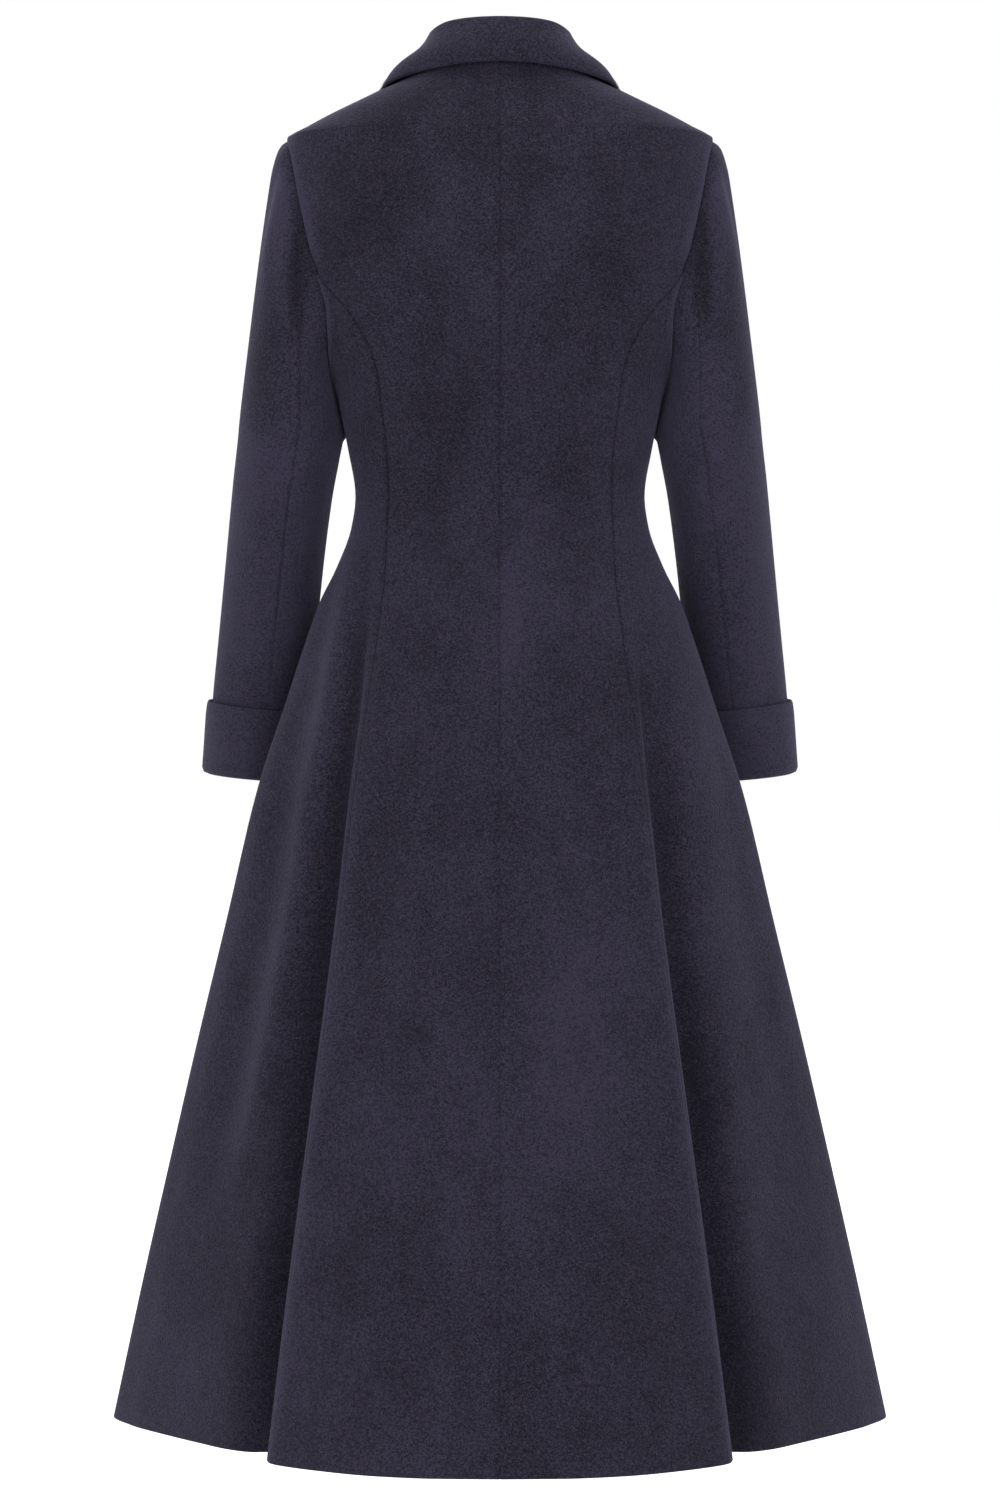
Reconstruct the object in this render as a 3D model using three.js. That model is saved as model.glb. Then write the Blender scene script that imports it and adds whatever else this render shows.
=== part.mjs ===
// A full-length swing coat, filled out as if worn: eight princess-line panels, two-piece
// sleeves with turn-back cuffs, a turned-down collar and a buttoned front.
// Millimetres, +Z up. The origin lies between the two side neck points, where a wearer's
// shoulders hold the coat. The wearer faces -Y, with the left arm on +X.
import * as THREE from "three";

// Driving sizes
const CLOTH = 2.5;
const COLLAR_CLOTH = 3.2;
const SEAM_GAP = 0.3;
const ARMHOLE_GAP = 0.8;
const SLEEVE_SEAM_GAP = 0.6;
const HEM_Z = -1215;
const CHEST_Z = -310;
const HIP_Z = -505;
const UNDERARM_Z = -281;
const BACK_SEAM_TOP_Z = -188;
const FRONT_SEAM_TOP_Z = -172;
const SHOULDER_TIP_Z = -61;
const NAPE_Z = 3;
const THROAT_Z = -88;
const UNDERARM_HALF = 150;
const SHOULDER_HALF = 190.5;
const NAVY = 0x2b2b3c;
const BUTTON_NAVY = 0x1c1c28;

// Level sections of the body from the hem up. width is half the width across, at the
// depth side; back and front are the depths of the centre lines from the origin.
// backSeam and frontSeam give how far out the panel edges lie, as a share of width: the
// princess seams, and above them the armhole and the shoulder seam. square rounds the
// oval, and fold says how far it has turned into the folded outline of the hem.
const SECTIONS = [
  { z: HEM_Z, width: 349, side: 10, back: 270, front: 246, backSeam: 0.56, frontSeam: 0.53, square: 2.0, fold: 1.0 },
  { z: -1089, width: 321.7, side: 14, back: 241, front: 221, backSeam: 0.56, frontSeam: 0.53, square: 2.0, fold: 0.93 },
  { z: -981, width: 297, side: 18, back: 216, front: 200, backSeam: 0.56, frontSeam: 0.53, square: 2.0, fold: 0.86 },
  { z: -872, width: 271.5, side: 23, back: 191, front: 178, backSeam: 0.56, frontSeam: 0.52, square: 2.0, fold: 0.77 },
  { z: -765, width: 245.5, side: 28, back: 167, front: 157, backSeam: 0.57, frontSeam: 0.51, square: 2.05, fold: 0.66 },
  { z: -648, width: 217.5, side: 34, back: 142, front: 134, backSeam: 0.595, frontSeam: 0.51, square: 2.1, fold: 0.5 },
  { z: -564, width: 190.5, side: 27, back: 124, front: 118, backSeam: 0.62, frontSeam: 0.53, square: 2.15, fold: 0.33 },
  { z: -521, width: 177, side: 18, back: 114, front: 110, backSeam: 0.63, frontSeam: 0.55, square: 2.2, fold: 0.22 },
  { z: -480, width: 163, side: 9, back: 103, front: 103, backSeam: 0.645, frontSeam: 0.57, square: 2.2, fold: 0.1 },
  { z: -449, width: 148, side: 4, back: 92, front: 98, backSeam: 0.69, frontSeam: 0.6, square: 2.25, fold: 0.03 },
  { z: -412, width: 134.5, side: 0, back: 81, front: 94, backSeam: 0.745, frontSeam: 0.64, square: 2.3, fold: 0 },
  { z: -385, width: 131, side: 0, back: 77, front: 94, backSeam: 0.757, frontSeam: 0.655, square: 2.3, fold: 0 },
  { z: -340, width: 138, side: 0, back: 83, front: 110, backSeam: 0.737, frontSeam: 0.655, square: 2.3, fold: 0 },
  { z: CHEST_Z, width: 144.2, side: 0, back: 89, front: 122, backSeam: 0.73, frontSeam: 0.65, square: 2.3, fold: 0 },
  { z: UNDERARM_Z, width: UNDERARM_HALF, side: 0, back: 94, front: 128, backSeam: 0.725, frontSeam: 0.66, square: 2.3, fold: 0 },
  { z: -251, width: 160, side: 0, back: 98, front: 126, backSeam: 0.743, frontSeam: 0.7, square: 2.3, fold: 0 },
  { z: -227, width: 168.5, side: 0, back: 100, front: 122, backSeam: 0.79, frontSeam: 0.755, square: 2.3, fold: 0 },
  { z: BACK_SEAM_TOP_Z, width: 180, side: 0, back: 101, front: 112, backSeam: 0.906, frontSeam: 0.852, square: 2.3, fold: 0 },
  { z: -140, width: 188.5, side: 0, back: 99, front: 98, backSeam: 0.934, frontSeam: 0.895, square: 2.3, fold: 0 },
  { z: -104, width: 191.4, side: 0, back: 95, front: 84, backSeam: 0.9576, frontSeam: 0.937, square: 2.3, fold: 0 },
  { z: -76, width: 191.6, side: 0, back: 91, front: 74, backSeam: 0.984, frontSeam: 0.974, square: 2.3, fold: 0 },
  { z: SHOULDER_TIP_Z, width: SHOULDER_HALF, side: 0, back: 88, front: 68, backSeam: 1, frontSeam: 1, square: 2.3, fold: 0 },
  { z: -54.5, width: 178, side: 0, back: 86, front: 65, backSeam: 1, frontSeam: 1, square: 2.3, fold: 0 },
  { z: -41.5, width: 154, side: 0, back: 82, front: 61, backSeam: 1, frontSeam: 1, square: 2.3, fold: 0 },
  { z: -21, width: 112, side: 0, back: 75, front: 53, backSeam: 1, frontSeam: 1, square: 2.25, fold: 0 },
  { z: 0, width: 72, side: 0, back: 67, front: 45, backSeam: 1, frontSeam: 1, square: 2.2, fold: 0 },
  { z: 12, width: 66, side: 0, back: 61, front: 40, backSeam: 1, frontSeam: 1, square: 2.2, fold: 0 },
];

// The folded outline of the hem on one half, as shares of the section's width and depth.
// at counts the seams: 0 centre back, 1 back princess, 2 side, 3 front princess, 4 centre
// front. The cloth rolls under just past each princess seam and comes out again.
const HEM_OUTLINE = [
  { at: 0, across: 0, along: 1 },
  { at: 0.25, across: 0.15, along: 0.993 },
  { at: 0.5, across: 0.3, along: 0.955 },
  { at: 0.75, across: 0.435, along: 0.878 },
  { at: 0.92, across: 0.526, along: 0.8 },
  { at: 1, across: 0.558, along: 0.748 },
  { at: 1.06, across: 0.566, along: 0.69 },
  { at: 1.14, across: 0.53, along: 0.635 },
  { at: 1.2, across: 0.55, along: 0.612 },
  { at: 1.28, across: 0.605, along: 0.6 },
  { at: 1.38, across: 0.67, along: 0.552 },
  { at: 1.52, across: 0.76, along: 0.435 },
  { at: 1.68, across: 0.855, along: 0.3 },
  { at: 1.84, across: 0.945, along: 0.155 },
  { at: 2, across: 1, along: 0 },
  { at: 2.1, across: 0.985, along: -0.12 },
  { at: 2.28, across: 0.905, along: -0.32 },
  { at: 2.46, across: 0.79, along: -0.475 },
  { at: 2.64, across: 0.665, along: -0.58 },
  { at: 2.78, across: 0.56, along: -0.632 },
  { at: 2.87, across: 0.512, along: -0.675 },
  { at: 2.94, across: 0.532, along: -0.735 },
  { at: 3, across: 0.525, along: -0.79 },
  { at: 3.18, across: 0.43, along: -0.872 },
  { at: 3.45, across: 0.295, along: -0.95 },
  { at: 3.76, across: 0.13, along: -0.99 },
  { at: 4, across: 0, along: -1 },
];

// The levels of the panel rows below the chest, then how far along each upper stretch
// the rows lie: up to the top of the princess seam, up the armhole, up to the neck.
const LOW_LEVELS = [
  HEM_Z, -1100, -990, -885, -785, -705, -640, -590, -545, HIP_Z, -470, -440, -412, -385, -358, -334, CHEST_Z,
];
const BLADE_STEPS = [0.22, 0.46, 0.72, 1];
const ARMHOLE_STEPS = [0.28, 0.56, 0.8, 0.95, 1];
const SHOULDER_STEPS = [0.13, 0.34, 0.64, 1];
// How sharply the armhole turns in under the arm.
const ARMHOLE_SCOOP = { back: 1.4, front: 2 };

// The columns of each panel, as shares of the way from its first seam to its second.
const BACK_COLUMNS = [0, 0.15, 0.3, 0.44, 0.58, 0.72, 0.84, 0.93, 1];
const SIDE_BACK_COLUMNS = [0, 0.06, 0.14, 0.2, 0.28, 0.38, 0.52, 0.68, 0.84, 1];
const SIDE_FRONT_COLUMNS = [0, 0.1, 0.28, 0.46, 0.64, 0.78, 0.87, 0.94, 1];
const FRONT_COLUMNS = [0, 0.08, 0.18, 0.31, 0.45, 0.6, 0.76, 0.9, 1];

// The fronts lap over each other past the centre line, the right one outside.
const BUTTON_STAND = 20;
const LAP_LIFT = 3.2;
const LAP_RAMP = { from: 54, to: 26 };

// The height of the front neckline from the shoulder seam to the centre front.
const NECKLINE = [
  { at: 3, z: 0 },
  { at: 3.3, z: -5 },
  { at: 3.55, z: -17 },
  { at: 3.75, z: -44 },
  { at: 3.89, z: -71 },
  { at: 4, z: THROAT_Z },
];

// The left sleeve in rings from the armhole to the wrist. Each ring goes through an inner
// and an outer point, mid is its centre's depth and depth its half-depth. hind is the
// angle of the hind-arm seam round the ring, from the outer point towards the back.
const SLEEVE_RINGS = [
  { ring: 0, innerX: UNDERARM_HALF, innerZ: UNDERARM_Z, outerX: SHOULDER_HALF, outerZ: SHOULDER_TIP_Z, mid: -5, depth: 53, hind: 98 },
  { ring: 1, innerX: 150.5, innerZ: -283.5, outerX: 199.5, outerZ: -68, mid: -5, depth: 55, hind: 98 },
  { ring: 2, innerX: 150.6, innerZ: -286, outerX: 206, outerZ: -86, mid: -5, depth: 57, hind: 99 },
  { ring: 3, innerX: 150.5, innerZ: -289, outerX: 211, outerZ: -115, mid: -5, depth: 58, hind: 100 },
  { ring: 4, innerX: 150, innerZ: -292.5, outerX: 216.5, outerZ: -153, mid: -5, depth: 59, hind: 101 },
  { ring: 5, innerX: 148.9, innerZ: -297, outerX: 222, outerZ: -195, mid: -5, depth: 59, hind: 102 },
  { ring: 6, innerX: 146.6, innerZ: -306, outerX: 228, outerZ: -243, mid: -6, depth: 59, hind: 103 },
  { ring: 7, innerX: 142.4, innerZ: -327, outerX: 236, outerZ: -308, mid: -8, depth: 58, hind: 103 },
  { ring: 8, innerX: 146.3, innerZ: -350, outerX: 239, outerZ: -336, mid: -12, depth: 57, hind: 103 },
  { ring: 9, innerX: 151.8, innerZ: -378, outerX: 242.5, outerZ: -365, mid: -15, depth: 56, hind: 103 },
  { ring: 10, innerX: 156.8, innerZ: -410, outerX: 246.2, outerZ: -398, mid: -21, depth: 55, hind: 103 },
  { ring: 11, innerX: 161.7, innerZ: -446, outerX: 250.3, outerZ: -434, mid: -30, depth: 54, hind: 103 },
  { ring: 12, innerX: 166.5, innerZ: -486, outerX: 255, outerZ: -474, mid: -41, depth: 53, hind: 103 },
  { ring: 13, innerX: 171.5, innerZ: -526, outerX: 259.8, outerZ: -514, mid: -52, depth: 51.5, hind: 103 },
  { ring: 14, innerX: 176.5, innerZ: -565, outerX: 264.8, outerZ: -555, mid: -63, depth: 50, hind: 103 },
  { ring: 15, innerX: 180, innerZ: -604, outerX: 268.8, outerZ: -596, mid: -71, depth: 49, hind: 103 },
  { ring: 16, innerX: 183, innerZ: -643, outerX: 272, outerZ: -635, mid: -77, depth: 48.5, hind: 103 },
];
// How much the rings tilt with the sleeve's forward swing.
const TILT_SHARE = 0.35;
// The armhole's own shape fades out of the sleeve head by this ring.
const HEAD_RINGS = 5;
// The side-front column where the fore-arm seam meets the armhole.
const FORE_SEAM_COLUMN = 5;

// The cuff in section: how far out of the sleeve's surface, and which ring. It goes up the
// outside from the fold at its foot, over the raw top edge and down, round the sleeve's
// end and up a short way inside.
const CUFF_SECTION = [
  { out: 5.2, ring: 15.86 },
  { out: 5.0, ring: 15.2 },
  { out: 4.7, ring: 14.55 },
  { out: 4.2, ring: 14.37 },
  { out: 3.2, ring: 14.31 },
  { out: 1.6, ring: 14.33 },
  { out: 1.2, ring: 14.5 },
  { out: 1.4, ring: 15.2 },
  { out: 1.6, ring: 15.8 },
  { out: -1.2, ring: 15.88 },
  { out: -3.4, ring: 15.78 },
  { out: -3.6, ring: 15.3 },
  { out: -6.2, ring: 15.3 },
  { out: -6.2, ring: 15.86 },
  { out: -4.6, ring: 15.96 },
  { out: -0.5, ring: 16 },
  { out: 3.6, ring: 15.96 },
];
const SLEEVE_END = 15.72;

// The collar on one half, from the nape (w 0) past the shoulder (w 1) to the throat (w 2).
// lean moves the top of the stand towards the neck; roll is the height of the roll line,
// edgeW and edgeZ place the fall's edge on the body, lift holds it clear of that, and
// belly rounds the fall.
const COLLAR = [
  { w: 0, lean: 3, roll: 37, edgeW: 0, edgeZ: -9, lift: 9, belly: 2.5 },
  { w: 0.35, lean: 4.5, roll: 36.4, edgeW: 0.36, edgeZ: -10, lift: 8, belly: 2 },
  { w: 0.7, lean: 10.5, roll: 33.4, edgeW: 0.7, edgeZ: -13, lift: 6, belly: 0.5 },
  { w: 1, lean: 14.5, roll: 31.5, edgeW: 1, edgeZ: -18, lift: 4.8, belly: -0.8 },
  { w: 1.3, lean: 11, roll: 21, edgeW: 1.33, edgeZ: -26, lift: 5.5, belly: 0.5 },
  { w: 1.55, lean: 7, roll: 2, edgeW: 1.62, edgeZ: -48, lift: 6, belly: 2 },
  { w: 1.76, lean: 4, roll: -30, edgeW: 1.78, edgeZ: -88, lift: 7.4, belly: 2.5 },
  { w: 1.9, lean: 2, roll: -56, edgeW: 1.9, edgeZ: -116, lift: 8, belly: 2.5 },
  { w: 2, lean: 2, roll: -68, edgeW: 2, edgeZ: -127, lift: 8, belly: 2.5 },
];
const COLLAR_ROLL = 5;
const COLLAR_LIFT = 0.8;
const COLLAR_FRONT_GAP = 5;

// Five domed cloth-covered buttons down the centre front, as a turned section.
const BUTTON_LEVELS = [-158, -278, -398, -518, -638];
const BUTTON_SECTION = [
  { across: 0, up: 0 },
  { across: 11.5, up: 0 },
  { across: 14, up: 1.6 },
  { across: 13.2, up: 3.4 },
  { across: 10, up: 5 },
  { across: 5, up: 5.9 },
  { across: 0, up: 6.2 },
];
const BUTTON_SIDES = 20;
const BUTTON_CLEARANCE = 0.7;

// A smooth curve through one column of a table, read at a key. Its slopes are limited, so
// it never swings past the rows.
function curveOf(table, key, column) {
  const at = table.map((row) => row[key]);
  const value = table.map((row) => row[column]);
  const step = at.slice(1).map((a, i) => (value[i + 1] - value[i]) / (a - at[i]));
  const slope = at.map((_, i) => {
    if (i === 0) return step[0];
    if (i === at.length - 1) return step[i - 1];
    if (step[i - 1] * step[i] <= 0) return 0;
    return (2 * step[i - 1] * step[i]) / (step[i - 1] + step[i]);
  });
  return (where) => {
    let i = 0;
    while (i < at.length - 2 && where > at[i + 1]) i += 1;
    const span = at[i + 1] - at[i];
    const t = THREE.MathUtils.clamp((where - at[i]) / span, 0, 1);
    const square = t * t;
    const cube = square * t;
    return (
      value[i] * (2 * cube - 3 * square + 1) +
      value[i + 1] * (3 * square - 2 * cube) +
      span * (slope[i] * (cube - 2 * square + t) + slope[i + 1] * (cube - square))
    );
  };
}

// Reads every column of a table at once.
function reader(table, key) {
  const columns = Object.keys(table[0]).filter((name) => name !== key);
  const curves = columns.map((name) => curveOf(table, key, name));
  return (where) => Object.fromEntries(columns.map((name, i) => [name, curves[i](where)]));
}

const sectionAt = reader(SECTIONS, "z");
const hemOutlineAt = reader(HEM_OUTLINE, "at");
const sleeveAt = reader(SLEEVE_RINGS, "ring");
const collarAt = reader(COLLAR, "w");
const necklineAt = curveOf(NECKLINE, "at", "z");
const { lerp } = THREE.MathUtils;

// The angle from the centre line at which the oval has the given share of its width.
function angleAcross(share, square) {
  return Math.atan2(share, (1 - share ** square) ** (1 / square));
}

// A point of the body's outer surface: at counts the seams from the centre back to the
// centre front round the left side, and z is its height. Past a centre line it goes on
// round the right side.
function bodyPoint(at, z) {
  const here = at > 4 ? 8 - at : Math.abs(at);
  const hand = at > 4 || at < 0 ? -1 : 1;
  const section = sectionAt(z);
  const backSeam = angleAcross(section.backSeam, section.square);
  const frontSeam = Math.PI - angleAcross(section.frontSeam, section.square);
  const seams = [0, backSeam, Math.PI / 2, frontSeam, Math.PI];
  const panel = Math.min(3, Math.floor(here));
  const angle = lerp(seams[panel], seams[panel + 1], here - panel);
  const sine = Math.sin(angle);
  const cosine = Math.cos(angle);
  const reach = (Math.abs(sine) ** section.square + Math.abs(cosine) ** section.square) ** (-1 / section.square);
  const folded = hemOutlineAt(here);
  const across = lerp(sine * reach, folded.across, section.fold);
  const along = lerp(cosine * reach, folded.along, section.fold);
  const depth = along > 0 ? section.back - section.side : section.front + section.side;
  return new THREE.Vector3(hand * section.width * across, section.side + depth * along, z);
}

// The outward direction of that surface.
function bodyNormal(at, z) {
  const nudge = 0.004;
  const rise = 0.8;
  const round = bodyPoint(at + nudge, z).sub(bodyPoint(at - nudge, z));
  const up = bodyPoint(at, z + rise).sub(bodyPoint(at, z - rise));
  return up.cross(round).normalize();
}

// How high each panel reaches at a place between its seams.
function backTop(at) {
  return NAPE_Z * (1 - at * at);
}
function sideBackTop(at) {
  return UNDERARM_Z + (BACK_SEAM_TOP_Z - UNDERARM_Z) * (2 - at) ** ARMHOLE_SCOOP.back;
}
function sideFrontTop(at) {
  return UNDERARM_Z + (FRONT_SEAM_TOP_Z - UNDERARM_Z) * (at - 2) ** ARMHOLE_SCOOP.front;
}
function frontTop(at) {
  return necklineAt(at > 4 ? 8 - at : at);
}

// The heights of one column, from the hem to the top. A panel that reaches the shoulder
// goes on past the top of its princess seam, up the armhole and on to the neck.
function columnHeights(at, seamTop, top) {
  const bladeTop = seamTop ?? top(at);
  const heights = LOW_LEVELS.concat(BLADE_STEPS.map((s) => lerp(CHEST_Z, bladeTop, s)));
  if (seamTop === null) return heights;
  const share = (SHOULDER_TIP_Z - seamTop) / -seamTop;
  const tip = Math.min(SHOULDER_TIP_Z, lerp(seamTop, top(at), share));
  ARMHOLE_STEPS.forEach((s) => heights.push(lerp(seamTop, tip, s)));
  SHOULDER_STEPS.forEach((s) => heights.push(lerp(tip, top(at), s)));
  return heights;
}

// A panel as a grid of points and outward directions, from which its wall is made.
function bodyColumn(at, seamTop, top) {
  return columnHeights(at, seamTop, top).map((z) => ({ point: bodyPoint(at, z), normal: bodyNormal(at, z) }));
}
function bodyGrid(first, columns, seamTop, top) {
  return columns.map((share) => bodyColumn(first + share, seamTop, top));
}

// Draws the rim of a grid in by half a seam's gap, so that neighbours stay apart.
function drawnIn(grid, sideGap = SEAM_GAP, topGap = SEAM_GAP) {
  const lastColumn = grid.length - 1;
  const top = grid[0].length - 1;
  const moved = grid.map((column) => column.map(({ point, normal }) => ({ point: point.clone(), normal })));
  const pull = (i, j, towards, gap) => {
    moved[i][j].point.add(towards.clone().sub(grid[i][j].point).setLength(gap / 2));
  };
  grid[0].forEach((_, j) => {
    pull(0, j, grid[1][j].point, sideGap);
    pull(lastColumn, j, grid[lastColumn - 1][j].point, sideGap);
  });
  grid.forEach((column, i) => pull(i, top, column[top - 1].point, topGap));
  return moved;
}

// A closed wall: the grid is its outer face, and the inner face lies a thickness behind.
function wall(grid, thickness) {
  const rows = grid[0].length;
  const lastColumn = grid.length - 1;
  const position = [];
  const index = [];
  grid.flat().forEach(({ point }) => position.push(...point));
  grid.flat().forEach(({ point, normal }) => position.push(...point.clone().addScaledVector(normal, -thickness)));
  const outer = (i, j) => i * rows + j;
  const inner = (i, j) => grid.length * rows + outer(i, j);
  const quad = (a, b, c, d) => index.push(a, b, c, a, c, d);
  for (let i = 0; i < lastColumn; i += 1) {
    for (let j = 0; j < rows - 1; j += 1) {
      quad(outer(i, j), outer(i, j + 1), outer(i + 1, j + 1), outer(i + 1, j));
      quad(inner(i, j), inner(i + 1, j), inner(i + 1, j + 1), inner(i, j + 1));
    }
    quad(outer(i, 0), outer(i + 1, 0), inner(i + 1, 0), inner(i, 0));
    quad(outer(i + 1, rows - 1), outer(i, rows - 1), inner(i, rows - 1), inner(i + 1, rows - 1));
  }
  for (let j = 0; j < rows - 1; j += 1) {
    quad(outer(0, j + 1), outer(0, j), inner(0, j), inner(0, j + 1));
    quad(outer(lastColumn, j), outer(lastColumn, j + 1), inner(lastColumn, j + 1), inner(lastColumn, j));
  }
  return meshFrom(position, index);
}

function meshFrom(position, index) {
  const geometry = new THREE.BufferGeometry();
  geometry.setAttribute("position", new THREE.Float32BufferAttribute(position, 3));
  geometry.setIndex(index);
  return geometry;
}

// Gives a grid of bare points its outward directions, worked out from their neighbours.
function withNormals(points, closed) {
  const count = points.length;
  const beside = (i, step) => (closed ? (i + step + count) % count : THREE.MathUtils.clamp(i + step, 0, count - 1));
  return points.map((column, i) =>
    column.map((point, j) => {
      const along = column[Math.min(j + 1, column.length - 1)].clone().sub(column[Math.max(j - 1, 0)]);
      const round = points[beside(i, 1)][j].clone().sub(points[beside(i, -1)][j]);
      return { point, normal: along.cross(round).normalize() };
    }),
  );
}

// The same mesh on the other side of the body, its faces turned round to point outwards.
function mirrored(geometry) {
  const other = geometry.clone().scale(-1, 1, 1);
  other.setIndex([...geometry.index.array].reverse());
  return other;
}

const cloth = new THREE.MeshStandardMaterial({ color: NAVY, roughness: 0.95, metalness: 0 });
const buttonCover = new THREE.MeshStandardMaterial({ color: BUTTON_NAVY, roughness: 0.6, metalness: 0 });
const coat = new THREE.Group();

function add(name, geometry, material = cloth) {
  const mesh = new THREE.Mesh(geometry, material);
  mesh.name = name;
  coat.add(mesh);
}

function addPair(name, geometry) {
  add(`${name}_left`, geometry);
  add(`${name}_right`, mirrored(geometry));
}

// Back, side-back and side-front panels. Each is cut from the coat cloth and sewn to its
// neighbours along the princess, side, shoulder and armhole seams. A panel is cut in one
// piece from shoulder to hem, but its solid is made in two that meet at the hips, a seam's
// gap apart, so that each is nearly flat.
function aboveHips(grid) {
  const hips = LOW_LEVELS.indexOf(HIP_Z);
  return grid.map((column) => {
    const [foot, next, ...rest] = column.slice(hips);
    const way = next.point.clone().sub(foot.point).setLength(SEAM_GAP);
    return [{ point: foot.point.clone().add(way), normal: foot.normal }, next, ...rest];
  });
}
function belowHips(grid) {
  return grid.map((column) => column.slice(0, LOW_LEVELS.indexOf(HIP_Z) + 1));
}
function addPanels(name, grid) {
  addPair(name, wall(aboveHips(grid), CLOTH));
  addPair(`${name}_skirt`, wall(belowHips(grid), CLOTH));
}
addPanels("back", drawnIn(bodyGrid(0, BACK_COLUMNS, BACK_SEAM_TOP_Z, backTop)));
addPanels("side_back", drawnIn(bodyGrid(1, SIDE_BACK_COLUMNS, null, sideBackTop)));
addPanels("side_front", drawnIn(bodyGrid(2, SIDE_FRONT_COLUMNS, null, sideFrontTop)));

// Fronts. Each goes on past the centre line as a button stand, and the right one, cut the
// same, is lifted to lie over the left one.
const LAP_SAMPLE = 0.1;
function lapColumn(share) {
  const heights = columnHeights(4, FRONT_SEAM_TOP_Z, frontTop);
  return heights.map((z) => {
    const perSeam = Math.abs(bodyPoint(4 - LAP_SAMPLE, z).x) / LAP_SAMPLE;
    const at = 4 + (share * BUTTON_STAND) / perSeam;
    return { point: bodyPoint(at, z), normal: bodyNormal(at, z) };
  });
}
function lapLifted(grid) {
  return grid.map((column) =>
    column.map(({ point, normal }) => {
      const rise = THREE.MathUtils.smoothstep(-point.x, -LAP_RAMP.from, -LAP_RAMP.to);
      return { point: point.clone().addScaledVector(normal, rise * LAP_LIFT), normal };
    }),
  );
}
const frontColumns = bodyGrid(3, FRONT_COLUMNS, FRONT_SEAM_TOP_Z, frontTop);
const leftFront = drawnIn([...frontColumns, lapColumn(0.5), lapColumn(1)]);
const rightFront = lapLifted(leftFront);
add("front_left", wall(aboveHips(leftFront), CLOTH));
add("front_skirt_left", wall(belowHips(leftFront), CLOTH));
add("front_right", mirrored(wall(aboveHips(rightFront), CLOTH)));
add("front_skirt_right", mirrored(wall(belowHips(rightFront), CLOTH)));

// Sleeves. Each is cut in a top and an under piece, joined by a hind-arm and a fore-arm
// seam, and set into the armhole; the ring columns start at the points of the armhole edge.
function armholeAngle(z) {
  return Math.acos((2 * (z - UNDERARM_Z)) / (SHOULDER_TIP_Z - UNDERARM_Z) - 1);
}
const armholeDegrees = (z) => THREE.MathUtils.radToDeg(armholeAngle(z));
function edgeHeights(seamTop) {
  return ARMHOLE_STEPS.map((s) => lerp(seamTop, SHOULDER_TIP_Z, s));
}
const sideFrontHeights = SIDE_FRONT_COLUMNS.map((share) => sideFrontTop(2 + share));
const sideBackHeights = SIDE_BACK_COLUMNS.map((share) => sideBackTop(1 + share));
const topSleeveTurns = [
  ...sideFrontHeights.slice(FORE_SEAM_COLUMN).map((z) => -armholeDegrees(z)),
  ...edgeHeights(FRONT_SEAM_TOP_Z).map((z) => -armholeDegrees(z)),
  ...edgeHeights(BACK_SEAM_TOP_Z).slice(0, -1).reverse().map(armholeDegrees),
  armholeDegrees(BACK_SEAM_TOP_Z),
];
const underSleeveTurns = [
  ...sideBackHeights.map(armholeDegrees),
  ...sideFrontHeights.slice(1, FORE_SEAM_COLUMN + 1).map((z) => 360 - armholeDegrees(z)),
];
const HIND_TURN = armholeDegrees(BACK_SEAM_TOP_Z);
const ARMHOLE_FACING = new THREE.Vector3(
  SHOULDER_TIP_Z - UNDERARM_Z,
  0,
  UNDERARM_HALF - SHOULDER_HALF,
).normalize();

function armholePoint(degrees) {
  const turn = THREE.MathUtils.euclideanModulo(degrees + 180, 360) - 180;
  const share = (1 + Math.cos(THREE.MathUtils.degToRad(turn))) / 2;
  const z = lerp(UNDERARM_Z, SHOULDER_TIP_Z, share);
  const seamTop = turn > 0 ? BACK_SEAM_TOP_Z : FRONT_SEAM_TOP_Z;
  if (z > seamTop) return bodyPoint(turn > 0 ? 1 : 3, z);
  const rise = Math.max(0, (z - UNDERARM_Z) / (seamTop - UNDERARM_Z));
  if (turn > 0) return bodyPoint(2 - rise ** (1 / ARMHOLE_SCOOP.back), z);
  return bodyPoint(2 + rise ** (1 / ARMHOLE_SCOOP.front), z);
}

function plainRingPoint(ring, degrees) {
  const row = sleeveAt(ring);
  const angle = THREE.MathUtils.degToRad(degrees);
  const share = (1 + Math.cos(angle)) / 2;
  const before = sleeveAt(Math.max(0, ring - 0.5));
  const after = sleeveAt(ring + 0.5);
  const fall = after.innerZ + after.outerZ - before.innerZ - before.outerZ;
  const swing = (TILT_SHARE * 2 * (after.mid - before.mid)) / fall;
  const offset = row.depth * Math.sin(angle);
  return new THREE.Vector3(
    lerp(row.innerX, row.outerX, share),
    row.mid + offset,
    lerp(row.innerZ, row.outerZ, share) - offset * swing,
  );
}

// A point of the sleeve: round the plain ring, with the armhole's own shape near the head.
function sleevePoint(ring, loopDegrees) {
  const { hind } = sleeveAt(ring);
  const ahead = loopDegrees > HIND_TURN && loopDegrees <= 180;
  const behind = loopDegrees > 0 && loopDegrees <= HIND_TURN;
  let degrees = loopDegrees;
  if (behind) degrees = (loopDegrees * hind) / HIND_TURN;
  if (ahead) degrees = 180 - ((180 - loopDegrees) * (180 - hind)) / (180 - HIND_TURN);
  const point = plainRingPoint(ring, degrees);
  const fade = Math.max(0, 1 - ring / HEAD_RINGS) ** 1.6;
  const residual = armholePoint(loopDegrees).sub(plainRingPoint(0, loopDegrees));
  return point.addScaledVector(residual, fade).addScaledVector(ARMHOLE_FACING, fade * ARMHOLE_GAP);
}

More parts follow.
